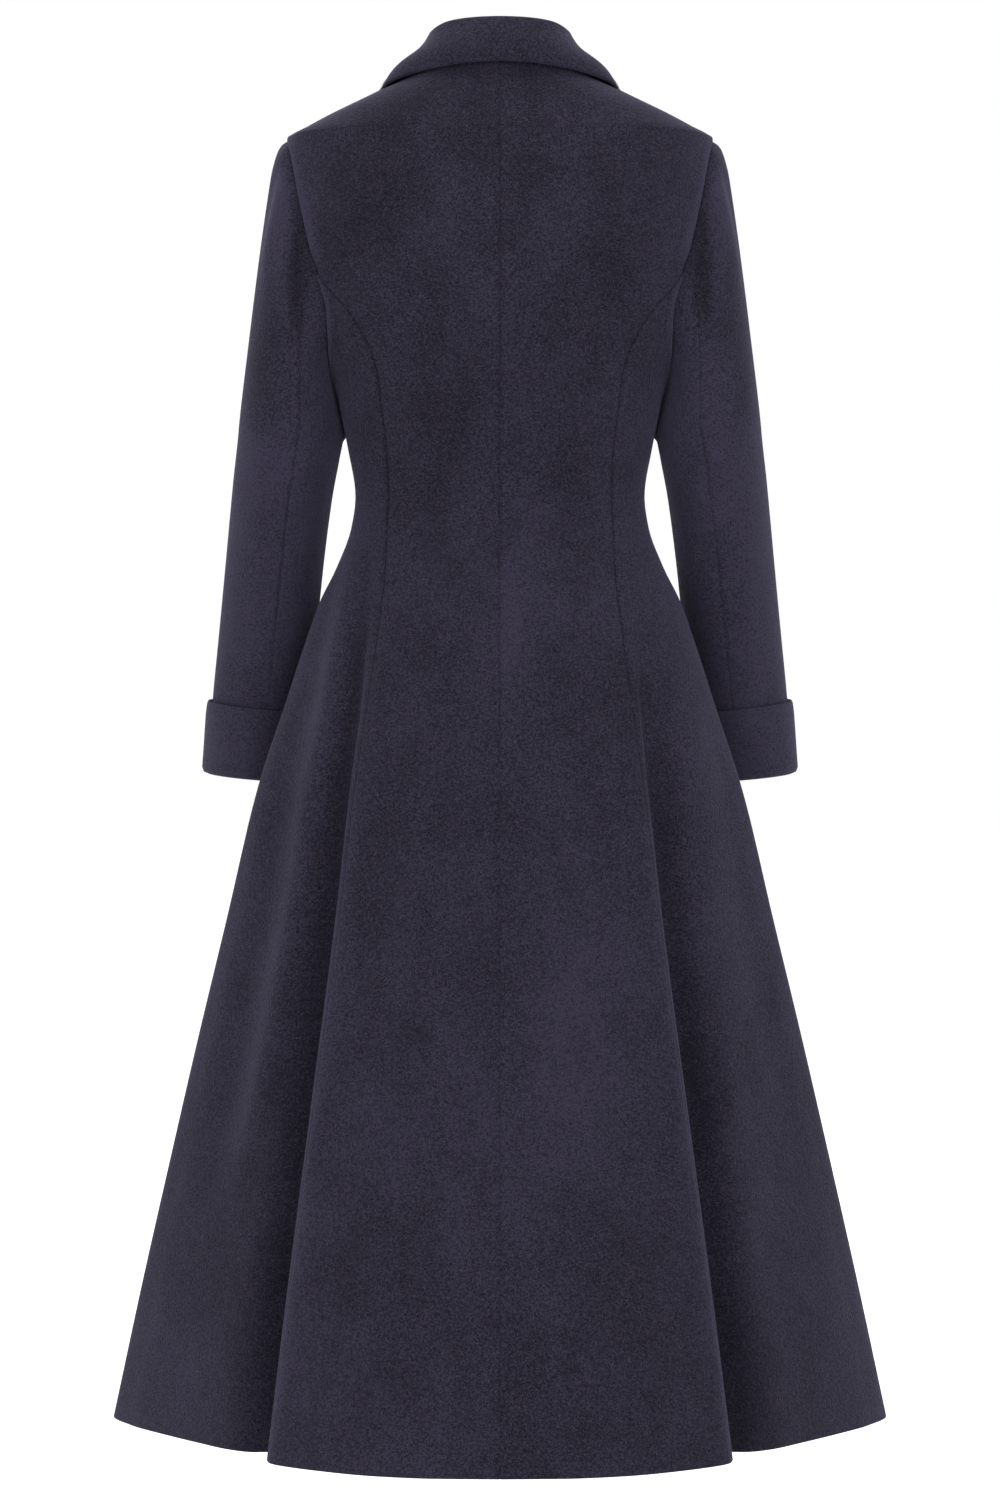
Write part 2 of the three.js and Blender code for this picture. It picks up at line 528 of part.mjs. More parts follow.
const SLEEVE_LEVELS = SLEEVE_RINGS.map(({ ring }) => Math.min(ring, SLEEVE_END));
const sleeveTurns = [...topSleeveTurns, ...underSleeveTurns.slice(1, -1)];
const wholeSleeve = withNormals(
  sleeveTurns.map((turn) => SLEEVE_LEVELS.map((ring) => sleevePoint(ring, turn))),
  true,
);
wholeSleeve.forEach((column) => {
  const { normal } = column[0];
  normal.addScaledVector(ARMHOLE_FACING, -Math.max(0, normal.dot(ARMHOLE_FACING))).normalize();
});
const hindColumn = topSleeveTurns.length - 1;
const topSleeve = wholeSleeve.slice(0, hindColumn + 1);
const underSleeve = [...wholeSleeve.slice(hindColumn), wholeSleeve[0]];
addPair("top_sleeve", wall(drawnIn(topSleeve, SLEEVE_SEAM_GAP, 0), CLOTH));
addPair("under_sleeve", wall(drawnIn(underSleeve, SLEEVE_SEAM_GAP, 0), CLOTH));

// Cuffs. Each is a straight strip sewn to the end of the sleeve, turned up over it to the
// right side, so that its foot is a fold and its top edge stands free.
const RING_SAMPLE = 0.1;
const TURN_SAMPLE = 2;
const LAST_RING = SLEEVE_RINGS.length - 1;
function cuffPoint(turn, { out, ring }) {
  const here = sleevePoint(ring, turn);
  const lower = Math.min(LAST_RING, ring + RING_SAMPLE);
  const along = sleevePoint(lower, turn).sub(sleevePoint(ring - RING_SAMPLE, turn));
  const round = sleevePoint(ring, turn + TURN_SAMPLE).sub(sleevePoint(ring, turn - TURN_SAMPLE));
  return here.addScaledVector(along.cross(round).normalize(), out);
}
const cuffRows = CUFF_SECTION.length;
const cuffPosition = sleeveTurns.flatMap((turn) => CUFF_SECTION.flatMap((row) => [...cuffPoint(turn, row)]));
const cuffIndex = sleeveTurns.flatMap((_, i) =>
  CUFF_SECTION.flatMap((row, j) => {
    const next = (i + 1) % sleeveTurns.length;
    const above = (j + 1) % cuffRows;
    const [a, b] = [i * cuffRows + j, i * cuffRows + above];
    const [c, d] = [next * cuffRows + above, next * cuffRows + j];
    return [a, c, b, a, d, c];
  }),
);
addPair("cuff", meshFrom(cuffPosition, cuffIndex));

// Collar. One piece of doubled cloth: a stand that rises from the neckline, rolls over and
// falls on to the shoulders. Its two plain ends meet at the throat.
const NECK_CENTRE_Y = -5;
const seamsAt = (w) => (w <= 1 ? w : w + 2);
function collarColumn(w) {
  const row = collarAt(w);
  const at = seamsAt(w);
  const edgeAt = seamsAt(row.edgeW);
  const neck = bodyPoint(at, w <= 1 ? backTop(at) : frontTop(at));
  const away = new THREE.Vector3(neck.x, neck.y - NECK_CENTRE_Y, 0).normalize();
  const edge = bodyPoint(edgeAt, row.edgeZ).addScaledVector(bodyNormal(edgeAt, row.edgeZ), row.lift);
  const foot = neck.clone().addScaledVector(away, -COLLAR_CLOTH / 2);
  foot.z += COLLAR_LIFT;
  const standTop = foot.clone().addScaledVector(away, -row.lean);
  standTop.z = row.roll - COLLAR_ROLL;
  const profile = [0, 0.4, 0.75].map((s) => foot.clone().lerp(standTop, s));
  const centre = standTop.clone().addScaledVector(away, COLLAR_ROLL);
  [180, 145, 110, 75, 40].forEach((degrees) => {
    const turn = THREE.MathUtils.degToRad(degrees);
    const point = centre.clone().addScaledVector(away, COLLAR_ROLL * Math.cos(turn));
    point.z += COLLAR_ROLL * Math.sin(turn);
    profile.push(point);
  });
  const rolled = profile[profile.length - 1];
  const fallWay = edge.clone().sub(rolled);
  const across = new THREE.Vector3(-away.y, away.x, 0);
  const proud = fallWay.clone().cross(across).normalize();
  [0.25, 0.5, 0.75, 1].forEach((s) => {
    const swell = row.belly * Math.sin(Math.PI * s);
    profile.push(rolled.clone().addScaledVector(fallWay, s).addScaledVector(proud, swell));
  });
  return profile;
}
const collarPlaces = [...BACK_COLUMNS, ...FRONT_COLUMNS.slice(1).map((share) => 1 + share)];
const leftCollar = collarPlaces.map(collarColumn).reverse();
const rightCollar = collarPlaces.slice(1).map((w) => collarColumn(w).map(({ x, y, z }) => new THREE.Vector3(-x, y, z)));
add("collar", wall(drawnIn(withNormals([...leftCollar, ...rightCollar], false), COLLAR_FRONT_GAP, 0), COLLAR_CLOTH));

// Buttons. Domed discs covered in the coat cloth, sewn on through the right front.
BUTTON_LEVELS.forEach((z, i) => {
  const outline = BUTTON_SECTION.map(({ across, up }) => new THREE.Vector2(across, up));
  const button = new THREE.LatheGeometry(outline, BUTTON_SIDES);
  const facing = bodyNormal(4, z);
  button.applyQuaternion(new THREE.Quaternion().setFromUnitVectors(new THREE.Vector3(0, 1, 0), facing));
  const seat = bodyPoint(4, z).addScaledVector(facing, LAP_LIFT + BUTTON_CLEARANCE);
  button.translate(seat.x, seat.y, seat.z);
  add(`button_${i + 1}`, button, buttonCover);
});

export default coat;
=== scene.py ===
import bpy
import math
import numpy as np
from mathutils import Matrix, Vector


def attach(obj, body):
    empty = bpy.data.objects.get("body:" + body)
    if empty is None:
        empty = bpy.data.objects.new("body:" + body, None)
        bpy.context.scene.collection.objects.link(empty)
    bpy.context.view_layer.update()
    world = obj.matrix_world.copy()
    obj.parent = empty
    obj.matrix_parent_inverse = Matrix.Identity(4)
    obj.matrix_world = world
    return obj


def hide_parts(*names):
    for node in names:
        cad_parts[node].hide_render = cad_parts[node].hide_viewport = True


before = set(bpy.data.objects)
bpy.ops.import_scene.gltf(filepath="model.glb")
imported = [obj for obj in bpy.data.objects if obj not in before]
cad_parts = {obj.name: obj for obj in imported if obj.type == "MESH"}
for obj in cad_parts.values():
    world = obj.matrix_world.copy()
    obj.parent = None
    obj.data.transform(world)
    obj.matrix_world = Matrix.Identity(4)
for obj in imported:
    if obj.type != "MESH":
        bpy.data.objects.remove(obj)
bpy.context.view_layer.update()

# The studio
# A plain white floor under the coat, white light from all round, big soft lamps, and a
# camera level with the coat's middle that looks at its back, as the photograph was taken.
CAMERA_HEIGHT = -0.614
CAMERA_DISTANCE = 3.0
CAMERA_LENS = 79.4
FLOOR_HEIGHT = -1.42
FLOOR_HALF = 30
WHITE = (1, 1, 1, 1)

camera_data = bpy.data.cameras.new("camera")
camera_data.lens = CAMERA_LENS
camera_data.sensor_width = 36
camera = bpy.data.objects.new("camera", camera_data)
camera.location = (0, CAMERA_DISTANCE, CAMERA_HEIGHT)
camera.rotation_euler = (math.radians(90), 0, math.radians(180))
bpy.context.collection.objects.link(camera)
bpy.context.scene.camera = camera
bpy.context.scene.view_settings.view_transform = "Standard"


def mesh_object(name, points, faces, material=None):
    """A smooth-shaded mesh, its points in metres."""
    mesh = bpy.data.meshes.new(name)
    mesh.from_pydata([tuple(point) for point in points], [], faces)
    mesh.polygons.foreach_set("use_smooth", [True] * len(mesh.polygons))
    piece = bpy.data.objects.new(name, mesh)
    bpy.context.collection.objects.link(piece)
    if material is not None:
        mesh.materials.append(material)
    return piece


def pale_floor():
    corners = ((-1, -1), (1, -1), (1, 1), (-1, 1))
    points = [(FLOOR_HALF * x, FLOOR_HALF * y, FLOOR_HEIGHT) for x, y in corners]
    paper = bpy.data.materials.new("white_paper")
    paper.use_nodes = True
    shader = paper.node_tree.nodes["Principled BSDF"]
    shader.inputs["Base Color"].default_value = (0.9, 0.9, 0.9, 1)
    shader.inputs["Roughness"].default_value = 0.9
    shader.inputs["Emission Color"].default_value = WHITE
    shader.inputs["Emission Strength"].default_value = 0.25
    return mesh_object("floor", points, [(0, 1, 2, 3)], paper)


def soft_lamp(name, place, aim, size, watts):
    data = bpy.data.lights.new(name, "AREA")
    data.shape = "DISK"
    data.size = size
    data.energy = watts
    lamp = bpy.data.objects.new(name, data)
    lamp.location = place
    way = [a - b for a, b in zip(aim, place)]
    lamp.rotation_euler = Vector(way).to_track_quat("-Z", "Y").to_euler()
    bpy.context.collection.objects.link(lamp)


pale_floor()
soft_lamp("key", (-1.5, 4.2, 0.3), (0, 0, -0.75), 2.4, 62)
soft_lamp("fill", (2.3, 3.6, -0.5), (0, 0, -0.8), 2.4, 40)
soft_lamp("front_lamp", (0.9, -4.0, 1.4), (0, 0, -0.6), 2.4, 62)
soft_lamp("top_lamp", (0.1, 0.25, 1.9), (0, 0, -0.3), 1.4, 30)

world = bpy.data.worlds.new("studio")
world.use_nodes = True
world.node_tree.nodes["Background"].inputs["Color"].default_value = WHITE
world.node_tree.nodes["Background"].inputs["Strength"].default_value = 1.0
bpy.context.scene.world = world

# Back and side panels
# Eight long panels of dark navy brushed wool coating, cut with princess seams and a deep
# flare. Sewn right sides together and pressed open, so that each seam shows as a groove.

# Level sections of the body in millimetres, as the solids have them.
SECTION_COLUMNS = "z width side back front back_seam front_seam square fold"
SECTION_ROWS = [
    (-1215, 349, 10, 270, 246, 0.56, 0.53, 2.0, 1.0),
    (-1089, 321.7, 14, 241, 221, 0.56, 0.53, 2.0, 0.93),
    (-981, 297, 18, 216, 200, 0.56, 0.53, 2.0, 0.86),
    (-872, 271.5, 23, 191, 178, 0.56, 0.52, 2.0, 0.77),
    (-765, 245.5, 28, 167, 157, 0.57, 0.51, 2.05, 0.66),
    (-648, 217.5, 34, 142, 134, 0.595, 0.51, 2.1, 0.5),
    (-564, 190.5, 27, 124, 118, 0.62, 0.53, 2.15, 0.33),
    (-521, 177, 18, 114, 110, 0.63, 0.55, 2.2, 0.22),
    (-480, 163, 9, 103, 103, 0.645, 0.57, 2.2, 0.1),
    (-449, 148, 4, 92, 98, 0.69, 0.6, 2.25, 0.03),
    (-412, 134.5, 0, 81, 94, 0.745, 0.64, 2.3, 0),
    (-385, 131, 0, 77, 94, 0.757, 0.655, 2.3, 0),
    (-340, 138, 0, 83, 110, 0.737, 0.655, 2.3, 0),
    (-310, 144.2, 0, 89, 122, 0.73, 0.65, 2.3, 0),
    (-281, 150, 0, 94, 128, 0.725, 0.66, 2.3, 0),
    (-251, 160, 0, 98, 126, 0.743, 0.7, 2.3, 0),
    (-227, 168.5, 0, 100, 122, 0.79, 0.755, 2.3, 0),
    (-188, 180, 0, 101, 112, 0.906, 0.852, 2.3, 0),
    (-140, 188.5, 0, 99, 98, 0.934, 0.895, 2.3, 0),
    (-104, 191.4, 0, 95, 84, 0.9576, 0.937, 2.3, 0),
    (-76, 191.6, 0, 91, 74, 0.984, 0.974, 2.3, 0),
    (-61, 190.5, 0, 88, 68, 1, 1, 2.3, 0),
    (-54.5, 178, 0, 86, 65, 1, 1, 2.3, 0),
    (-41.5, 154, 0, 82, 61, 1, 1, 2.3, 0),
    (-21, 112, 0, 75, 53, 1, 1, 2.25, 0),
    (0, 72, 0, 67, 45, 1, 1, 2.2, 0),
    (12, 66, 0, 61, 40, 1, 1, 2.2, 0),
]
HEM_COLUMNS = "at across along"
HEM_ROWS = [
    (0, 0, 1), (0.25, 0.15, 0.993), (0.5, 0.3, 0.955), (0.75, 0.435, 0.878), (0.92, 0.526, 0.8),
    (1, 0.558, 0.748), (1.06, 0.566, 0.69), (1.14, 0.53, 0.635), (1.2, 0.55, 0.612),
    (1.28, 0.605, 0.6), (1.38, 0.67, 0.552), (1.52, 0.76, 0.435), (1.68, 0.855, 0.3),
    (1.84, 0.945, 0.155), (2, 1, 0), (2.1, 0.985, -0.12), (2.28, 0.905, -0.32),
    (2.46, 0.79, -0.475), (2.64, 0.665, -0.58), (2.78, 0.56, -0.632), (2.87, 0.512, -0.675),
    (2.94, 0.532, -0.735), (3, 0.525, -0.79), (3.18, 0.43, -0.872), (3.45, 0.295, -0.95),
    (3.76, 0.13, -0.99), (4, 0, -1),
]
CLOTH = 2.4
SEAM_GAP = 0.3
SEAM_PRESS = 0.18
SEAM_SHADE = 0.14
HEM_Z = -1215
CHEST_Z = -310
UNDERARM_Z = -281
BACK_SEAM_TOP_Z = -188
FRONT_SEAM_TOP_Z = -172
SHOULDER_TIP_Z = -61
NAPE_Z = 3
SCOOP_BACK = 1.4
SCOOP_FRONT = 2
NORMAL_TURN = 0.004
NORMAL_RISE = 0.8
QUARTER = math.pi / 2


def slopes(keys, values):
    """A curve's slope at each row: level at a peak, else between the slopes on both sides."""
    steps = np.diff(values) / np.diff(keys)
    result = np.zeros(len(keys))
    result[0], result[-1] = steps[0], steps[-1]
    before, after = steps[:-1], steps[1:]
    same = before * after > 0
    total = np.where(same, before + after, 1)
    result[1:-1] = np.where(same, 2 * before * after / total, 0)
    return result


def curve(keys, values):
    """A smooth curve through a table's column, which never swings past its rows."""
    keys = np.array(keys, float)
    values = np.array(values, float)
    slope = slopes(keys, values)

    def read(where):
        where = np.asarray(where, float)
        i = np.clip(np.searchsorted(keys, where) - 1, 0, len(keys) - 2)
        span = keys[i + 1] - keys[i]
        t = np.clip((where - keys[i]) / span, 0, 1)
        square, cube = t * t, t * t * t
        level = values[i] * (2 * cube - 3 * square + 1) + values[i + 1] * (3 * square - 2 * cube)
        lean = slope[i] * (cube - 2 * square + t) + slope[i + 1] * (cube - square)
        return level + span * lean

    return read


def table(columns, rows):
    """Reads all of a table's columns by its first one."""
    names = columns.split()
    data = np.array(rows, float)
    curves = {name: curve(data[:, 0], data[:, i]) for i, name in enumerate(names) if i}
    return lambda where: {name: read(where) for name, read in curves.items()}


section_at = table(SECTION_COLUMNS, SECTION_ROWS)
hem_at = table(HEM_COLUMNS, HEM_ROWS)


def mix(low, high, share):
    return low + (high - low) * share


def smooth_step(low, high, value):
    t = np.clip((value - low) / (high - low), 0, 1)
    return t * t * (3 - 2 * t)


def angle_across(share, square):
    """The turn from the centre line to a share of the half width, on a squared oval."""
    return np.arctan2(share, np.maximum(0, 1 - share**square) ** (1 / square))


def body_points(at, z):
    """The coat's body at a place counted in seams from the centre back, and a height."""
    at, z = np.broadcast_arrays(np.asarray(at, float), np.asarray(z, float))
    here = np.where(at > 4, 8 - at, np.abs(at))
    hand = np.where((at > 4) | (at < 0), -1, 1)
    s = section_at(z)
    back_seam = angle_across(s["back_seam"], s["square"])
    front_seam = math.pi - angle_across(s["front_seam"], s["square"])
    zero = np.zeros_like(z)
    seams = np.stack([zero, back_seam, zero + QUARTER, front_seam, zero + math.pi])
    panel = np.clip(np.floor(here).astype(int), 0, 3)
    low = np.take_along_axis(seams, panel[None], 0)[0]
    high = np.take_along_axis(seams, panel[None] + 1, 0)[0]
    angle = mix(low, high, here - panel)
    sine, cosine = np.sin(angle), np.cos(angle)
    reach = (np.abs(sine) ** s["square"] + np.abs(cosine) ** s["square"]) ** (-1 / s["square"])
    folded = hem_at(here)
    across = mix(sine * reach, folded["across"], s["fold"])
    along = mix(cosine * reach, folded["along"], s["fold"])
    depth = np.where(along > 0, s["back"] - s["side"], s["front"] + s["side"])
    return np.stack([hand * s["width"] * across, s["side"] + depth * along, z + zero], -1)


def unit(vectors):
    return vectors / np.maximum(np.linalg.norm(vectors, axis=-1, keepdims=True), 1e-9)


def body_normals(at, z):
    round_way = body_points(at + NORMAL_TURN, z) - body_points(at - NORMAL_TURN, z)
    up = body_points(at, z + NORMAL_RISE) - body_points(at, z - NORMAL_RISE)
    return unit(np.cross(up, round_way))


# Folds, listed one by one. Each has the hand it lies on (0 both), how wide and how high it is in
# millimetres, and pairs of height and place down it.
LEFT_CREST = ((-430, 1.4), (-530, 1.36), (-630, 1.37), (-735, 1.4), (-860, 1.44), (-1010, 1.5))
BODY_FOLDS = [
    # the soft ridge down the left side-back panel and the trough beside it
    (1, 15, 5.0, LEFT_CREST),
    (1, 22, -5.0, ((-450, 1.62), (-560, 1.62), (-720, 1.62), (-860, 1.63), (-1020, 1.64))),
    # the right side-back panel is flatter, with one low swell
    (-1, 26, 2.6, ((-480, 1.5), (-640, 1.45), (-800, 1.42), (-1000, 1.4))),
    (-1, 24, -2.6, ((-560, 1.76), (-760, 1.72), (-960, 1.68))),
    # valleys beside the rolled centre panels
    (1, 14, -6.5, ((-450, 1.16), (-560, 1.17), (-700, 1.19), (-860, 1.2), (-1050, 1.2), (-1215, 1.2))),
    (-1, 17, -6.5, ((-540, 1.14), (-700, 1.17), (-860, 1.18), (-1050, 1.19), (-1215, 1.2))),
    # the rolled edges stand proud
    (1, 16, 2.6, ((-520, 0.93), (-640, 0.95), (-900, 0.96), (-1215, 0.96))),
    (-1, 16, 2.2, ((-600, 0.93), (-760, 0.95), (-1000, 0.96), (-1215, 0.96))),
    # pressed-open allowances at the centre back
    (0, 9, 0.7, ((-430, 0.0), (-520, 0.0), (-640, 0.0))),
    # slack over the hips and the shoulder blades
    (1, 34, 1.8, ((-640, 0.42), (-820, 0.44), (-1000, 0.46))),
    (-1, 30, -1.4, ((-600, 0.5), (-800, 0.5), (-1080, 0.52))),
    (-1, 40, 1.6, ((-660, 0.3), (-900, 0.3), (-1150, 0.3))),
    (1, 26, -1.2, ((-150, 0.55), (-230, 0.62), (-300, 0.7))),
    (-1, 24, -1.2, ((-160, 0.6), (-240, 0.66), (-310, 0.72))),
    # the hidden side and front panels hang alike
    (1, 20, 2.6, ((-520, 2.45), (-700, 2.5), (-900, 2.55), (-1120, 2.58))),
    (-1, 22, 2.2, ((-540, 2.4), (-720, 2.46), (-960, 2.52), (-1150, 2.55))),
    (1, 24, -2.2, ((-560, 2.2), (-760, 2.24), (-1000, 2.28))),
    (-1, 22, -2.4, ((-520, 2.16), (-700, 2.2), (-940, 2.24))),
    (1, 30, 1.8, ((-620, 3.4), (-840, 3.4), (-1120, 3.4))),
    (-1, 30, -1.6, ((-600, 3.44), (-800, 3.44), (-1080, 3.42))),
]
# Painted shade and painted highlights where folds, rolls and bends miss or catch the light, and a few
# patches of the nap's own tone, laid out as the folds are, with a share of the whole tone for the rise.
SHADE_HIGHLIGHT_AND_TONE_BANDS = [
    # in the shade of the rolled centre panels
    (1, 11, 0.3, ((-460, 1.14), (-560, 1.17), (-700, 1.2), (-820, 1.22))),
    (1, 24, 0.36, ((-740, 1.22), (-870, 1.26), (-1050, 1.28), (-1215, 1.29))),
    (-1, 22, 0.34, ((-540, 1.12), (-620, 1.15), (-720, 1.2), (-870, 1.25), (-1050, 1.28),
                    (-1215, 1.29))),
    # a painted highlight on the crest of the left ridge
    (1, 12, -0.07, LEFT_CREST),
    # a painted highlight where the cloth bends at the waist's flanks
    (0, 14, -0.3, ((-345, 1.84), (-395, 1.86), (-460, 1.82))),
    # painted highlights on the rims of those rolls, and a lighter band beside the centre seam
    (1, 9, -0.1, ((-560, 0.97), (-760, 0.97), (-1000, 0.98), (-1215, 0.98))),
    (-1, 9, -0.1, ((-600, 0.97), (-760, 0.97), (-1000, 0.98), (-1215, 0.98))),
    (-1, 12, -0.16, ((-430, 0.08), (-520, 0.07), (-650, 0.06))),
    # painted shade over the upper back, below the lit shoulders
    (0, 85, 0.18, ((-400, 0.45), (-220, 0.5), (60, 0.5))),
    # rubbed places on the back
    (1, 46, 0.12, ((-240, 0.35), (-330, 0.4), (-440, 0.42), (-560, 0.4))),
    (-1, 34, 0.12, ((-330, 0.62), (-420, 0.6), (-500, 0.62))),
    (-1, 60, -0.1, ((-640, 0.35), (-820, 0.3), (-1010, 0.32))),
]
PLACE_STEP = 0.03
FADE_SHARE = 0.22
FADE_PAST = 0.3


def fold_relief(folds, hand, at, z):
    """How far the folds of one hand move the cloth out, in millimetres. A fold fades out at
    its ends, unless it runs through the hem."""
    total = np.zeros_like(z)
    for side, width, rise, path in folds:
        if side not in (0, hand):
            continue
        levels, places = zip(*sorted(path))
        low, high = levels[0], levels[-1]
        line = curve(levels, places)(z)
        beside = body_points(line + PLACE_STEP, z) - body_points(line - PLACE_STEP, z)
        away = (at - line) * np.linalg.norm(beside, axis=-1) / (2 * PLACE_STEP)
        run = FADE_SHARE * (high - low)
        past = FADE_PAST * run
        fade = 1 - smooth_step(high - run, high + past, z)
        if low > HEM_Z:
            fade = fade * smooth_step(low - past, low + run, z)
        total += rise * np.exp(-((away / width) ** 2)) * fade
    return total


# The rim's loops between the two faces: how deep each lies, and its shares of the swelling
# of a soft edge and of a sewn one.
RIM_LOOPS = ((0.14, 0.28, 0.3), (0.5, 0.42, 1), (0.86, 0.28, 0.3))
SHARP_DEGREES = 70
MIRROR = (-1, 1, 1)
EDGE_SHARES = np.array([0.006, 0.014])
EDGE_END = 0.03
MOST_OF_BOX = 0.999


def spread(count):
    """Shares from 0 to 1, close together at both edges."""
    middle = np.linspace(EDGE_END, 1 - EDGE_END, count)
    return np.concatenate([[0], EDGE_SHARES, middle, 1 - EDGE_SHARES[::-1], [1]])


def rim_order(columns, rows):
    """The grid's rim points in their order round it."""
    index = np.arange(columns * rows).reshape(columns, rows)
    return np.concatenate([index[:, 0], index[-1, 1:], index[-2::-1, -1], index[0, -2:0:-1]])


def grid_faces(index):
    """Four-sided faces between the neighbours of a grid of point numbers."""
    corners = [index[:-1, :-1], index[:-1, 1:], index[1:, 1:], index[1:, :-1]]
    return np.stack(corners, -1).reshape(-1, 4)


def hung_cloth(name, points, faces, hand):
    """A mesh of the coat cloth from points in millimetres, mirrored for the right hand."""
    points = points / 1000
    if hand < 0:
        points = points * MIRROR
        faces = faces[:, ::-1]
    return mesh_object(name, points, faces.tolist(), coat_cloth)


def wall(name, outer, normal, thickness, hand, soft):
    """A cloth wall: its outer face is the grid outer[column, row], and its inner face lies
    a thickness behind. The edges named in soft are rounded, as a fold or a raw edge is, and
    the others swell by a hair, so that sewn neighbours close on each other."""
    columns, rows = outer.shape[:2]
    index = np.arange(columns * rows).reshape(columns, rows)
    front = grid_faces(index)
    inner = outer - normal * thickness
    points = [outer.reshape(-1, 3), inner.reshape(-1, 3)]
    faces = [front, front[:, ::-1] + columns * rows]
    swell = np.zeros_like(outer)
    press = np.zeros_like(outer)
    for edge, there, beside in (
        ("foot", np.s_[:, 0], np.s_[:, 1]),
        ("top", np.s_[:, -1], np.s_[:, -2]),
        ("first", np.s_[0], np.s_[1]),
        ("last", np.s_[-1], np.s_[-2]),
    ):
        outward = unit(outer[there] - outer[beside])
        if edge in soft:
            swell[there] += outward * thickness
        else:
            press[there] += outward * SEAM_PRESS
    around = rim_order(columns, rows)
    base, facing, swell, press = [grid.reshape(-1, 3)[around] for grid in (outer, normal, swell, press)]
    loops = [around]
    count = 2 * columns * rows
    for down, swollen, pressed in RIM_LOOPS:
        points.append(base - facing * thickness * down + swell * swollen + press * pressed)
        loops.append(np.arange(count, count + len(around)))
        count += len(around)
    loops.append(around + columns * rows)
    for near, far in zip(loops, loops[1:]):
        faces.append(np.stack([near, np.roll(near, -1), np.roll(far, -1), far], -1))
    piece = hung_cloth(name, np.concatenate(points), np.concatenate(faces), hand)
    piece.data.set_sharp_from_angle(angle=math.radians(SHARP_DEGREES))
    return piece


def set_tone_and_light(piece, values):
    """Stores, for the cloth's material, how much darker or lighter each point is drawn: painted shade
    and highlights, with some of the nap's own tone.
    """
    nap = piece.data.attributes.new("tone_and_painted_light", "FLOAT", "POINT")
    nap.data.foreach_set("value", values.astype(np.float32))


def lay_out(piece, outer, tone_and_light):
    """Gives the piece the cloth's own map, metres across and along the cut, and its tone with the
    painted light and shade.
    """
    columns, rows = outer.shape[:2]
    across = np.linalg.norm(np.diff(outer, axis=0), axis=-1) / 1000
    along = np.linalg.norm(np.diff(outer, axis=1), axis=-1) / 1000
    u = np.concatenate([np.zeros((1, rows)), np.cumsum(across, 0)])
    v = np.concatenate([np.zeros((columns, 1)), np.cumsum(along, 1)], 1)
    u -= u[columns // 2]
    flat = np.stack([u, v], -1).reshape(-1, 2)
    nap = tone_and_light.reshape(-1)
    around = rim_order(columns, rows)
    place = np.concatenate([flat, flat] + [flat[around]] * len(RIM_LOOPS))
    set_tone_and_light(piece, np.concatenate([nap, np.zeros_like(nap)] + [nap[around]] * len(RIM_LOOPS)))
    corners = np.zeros(len(piece.data.loops), int)
    piece.data.loops.foreach_get("vertex_index", corners)
    layer = piece.data.uv_layers.new(name="cut")
    layer.data.foreach_set("uv", place[corners].astype(np.float32).reshape(-1))


def cut_size(outer):
    """The width, length and area in metres that the piece is cut to."""
    across = np.linalg.norm(np.diff(outer, axis=0), axis=-1).sum(0).max() / 1000
    along = np.linalg.norm(np.diff(outer, axis=1), axis=-1).sum(1).max() / 1000
    one = np.cross(outer[1:, :-1] - outer[:-1, :-1], outer[:-1, 1:] - outer[:-1, :-1])
    two = np.cross(outer[:-1, 1:] - outer[1:, 1:], outer[1:, :-1] - outer[1:, 1:])
    area = (np.linalg.norm(one, axis=-1).sum() + np.linalg.norm(two, axis=-1).sum()) / 2e6
    return float(across), float(along), float(min(area, MOST_OF_BOX * across * along))


def hand_over(piece, nodes):
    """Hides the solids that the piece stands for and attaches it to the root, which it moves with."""
    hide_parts(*nodes)
    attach(piece, "root")


def sewn_sheet(name, outer, normal, tone_and_light, nodes, hand=1, thickness=CLOTH, soft=("foot",)):
    """One cut piece of cloth, made as a wall in place of its solid."""
    piece = wall(name, outer, normal, thickness, hand, soft)
    lay_out(piece, outer, tone_and_light)
    hand_over(piece, nodes)
    width, length, area = cut_size(outer)
    return piece


class Value:
    """Wraps a shader socket, so that maths on it adds Math nodes."""

    def __init__(self, tree, socket):
        self.tree = tree
        self.socket = socket

    def maths(self, operation, *others):
        node = self.tree.nodes.new("ShaderNodeMath")
        node.operation = operation
        for slot, value in zip(node.inputs, others):
            if isinstance(value, Value):
                self.tree.links.new(value.socket, slot)
            else:
                slot.default_value = value
        return Value(self.tree, node.outputs[0])

    def __add__(self, other):
        return self.maths("ADD", self, other)

    def __sub__(self, other):
        return self.maths("SUBTRACT", self, other)

    def __rsub__(self, other):
        return self.maths("SUBTRACT", other, self)

    def __mul__(self, other):
        return self.maths("MULTIPLY", self, other)

    __radd__ = __add__
    __rmul__ = __mul__

    def node(self, kind, output, settings=(), **sockets):
        """Adds any other node: its type, the output to read, its settings, and a value or a
        link for each socket named."""
        made = self.tree.nodes.new(kind)
        for key, value in dict(settings).items():
            setattr(made, key, value)
        for key, value in sockets.items():
            slot = made.inputs[key.replace("_", " ")]
            if isinstance(value, Value):
                self.tree.links.new(value.socket, slot)
            else:
                slot.default_value = value
        return Value(self.tree, made.outputs[output])

    def ramp(self, low, high):
        smooth = {"interpolation_type": "SMOOTHSTEP"}
        return self.node("ShaderNodeMapRange", "Result", smooth, Value=self, From_Min=low, From_Max=high)

    def feed(self, socket):
        self.tree.links.new(self.socket, socket)


def new_material(name):
    """A fresh material, its Principled shader, and a Value to start expressions from."""
    material = bpy.data.materials.new(name)
    material.use_nodes = True
    shader = material.node_tree.nodes["Principled BSDF"]
    coordinates = material.node_tree.nodes.new("ShaderNodeTexCoord")
    return material, shader, Value(material.node_tree, coordinates.outputs["Object"])


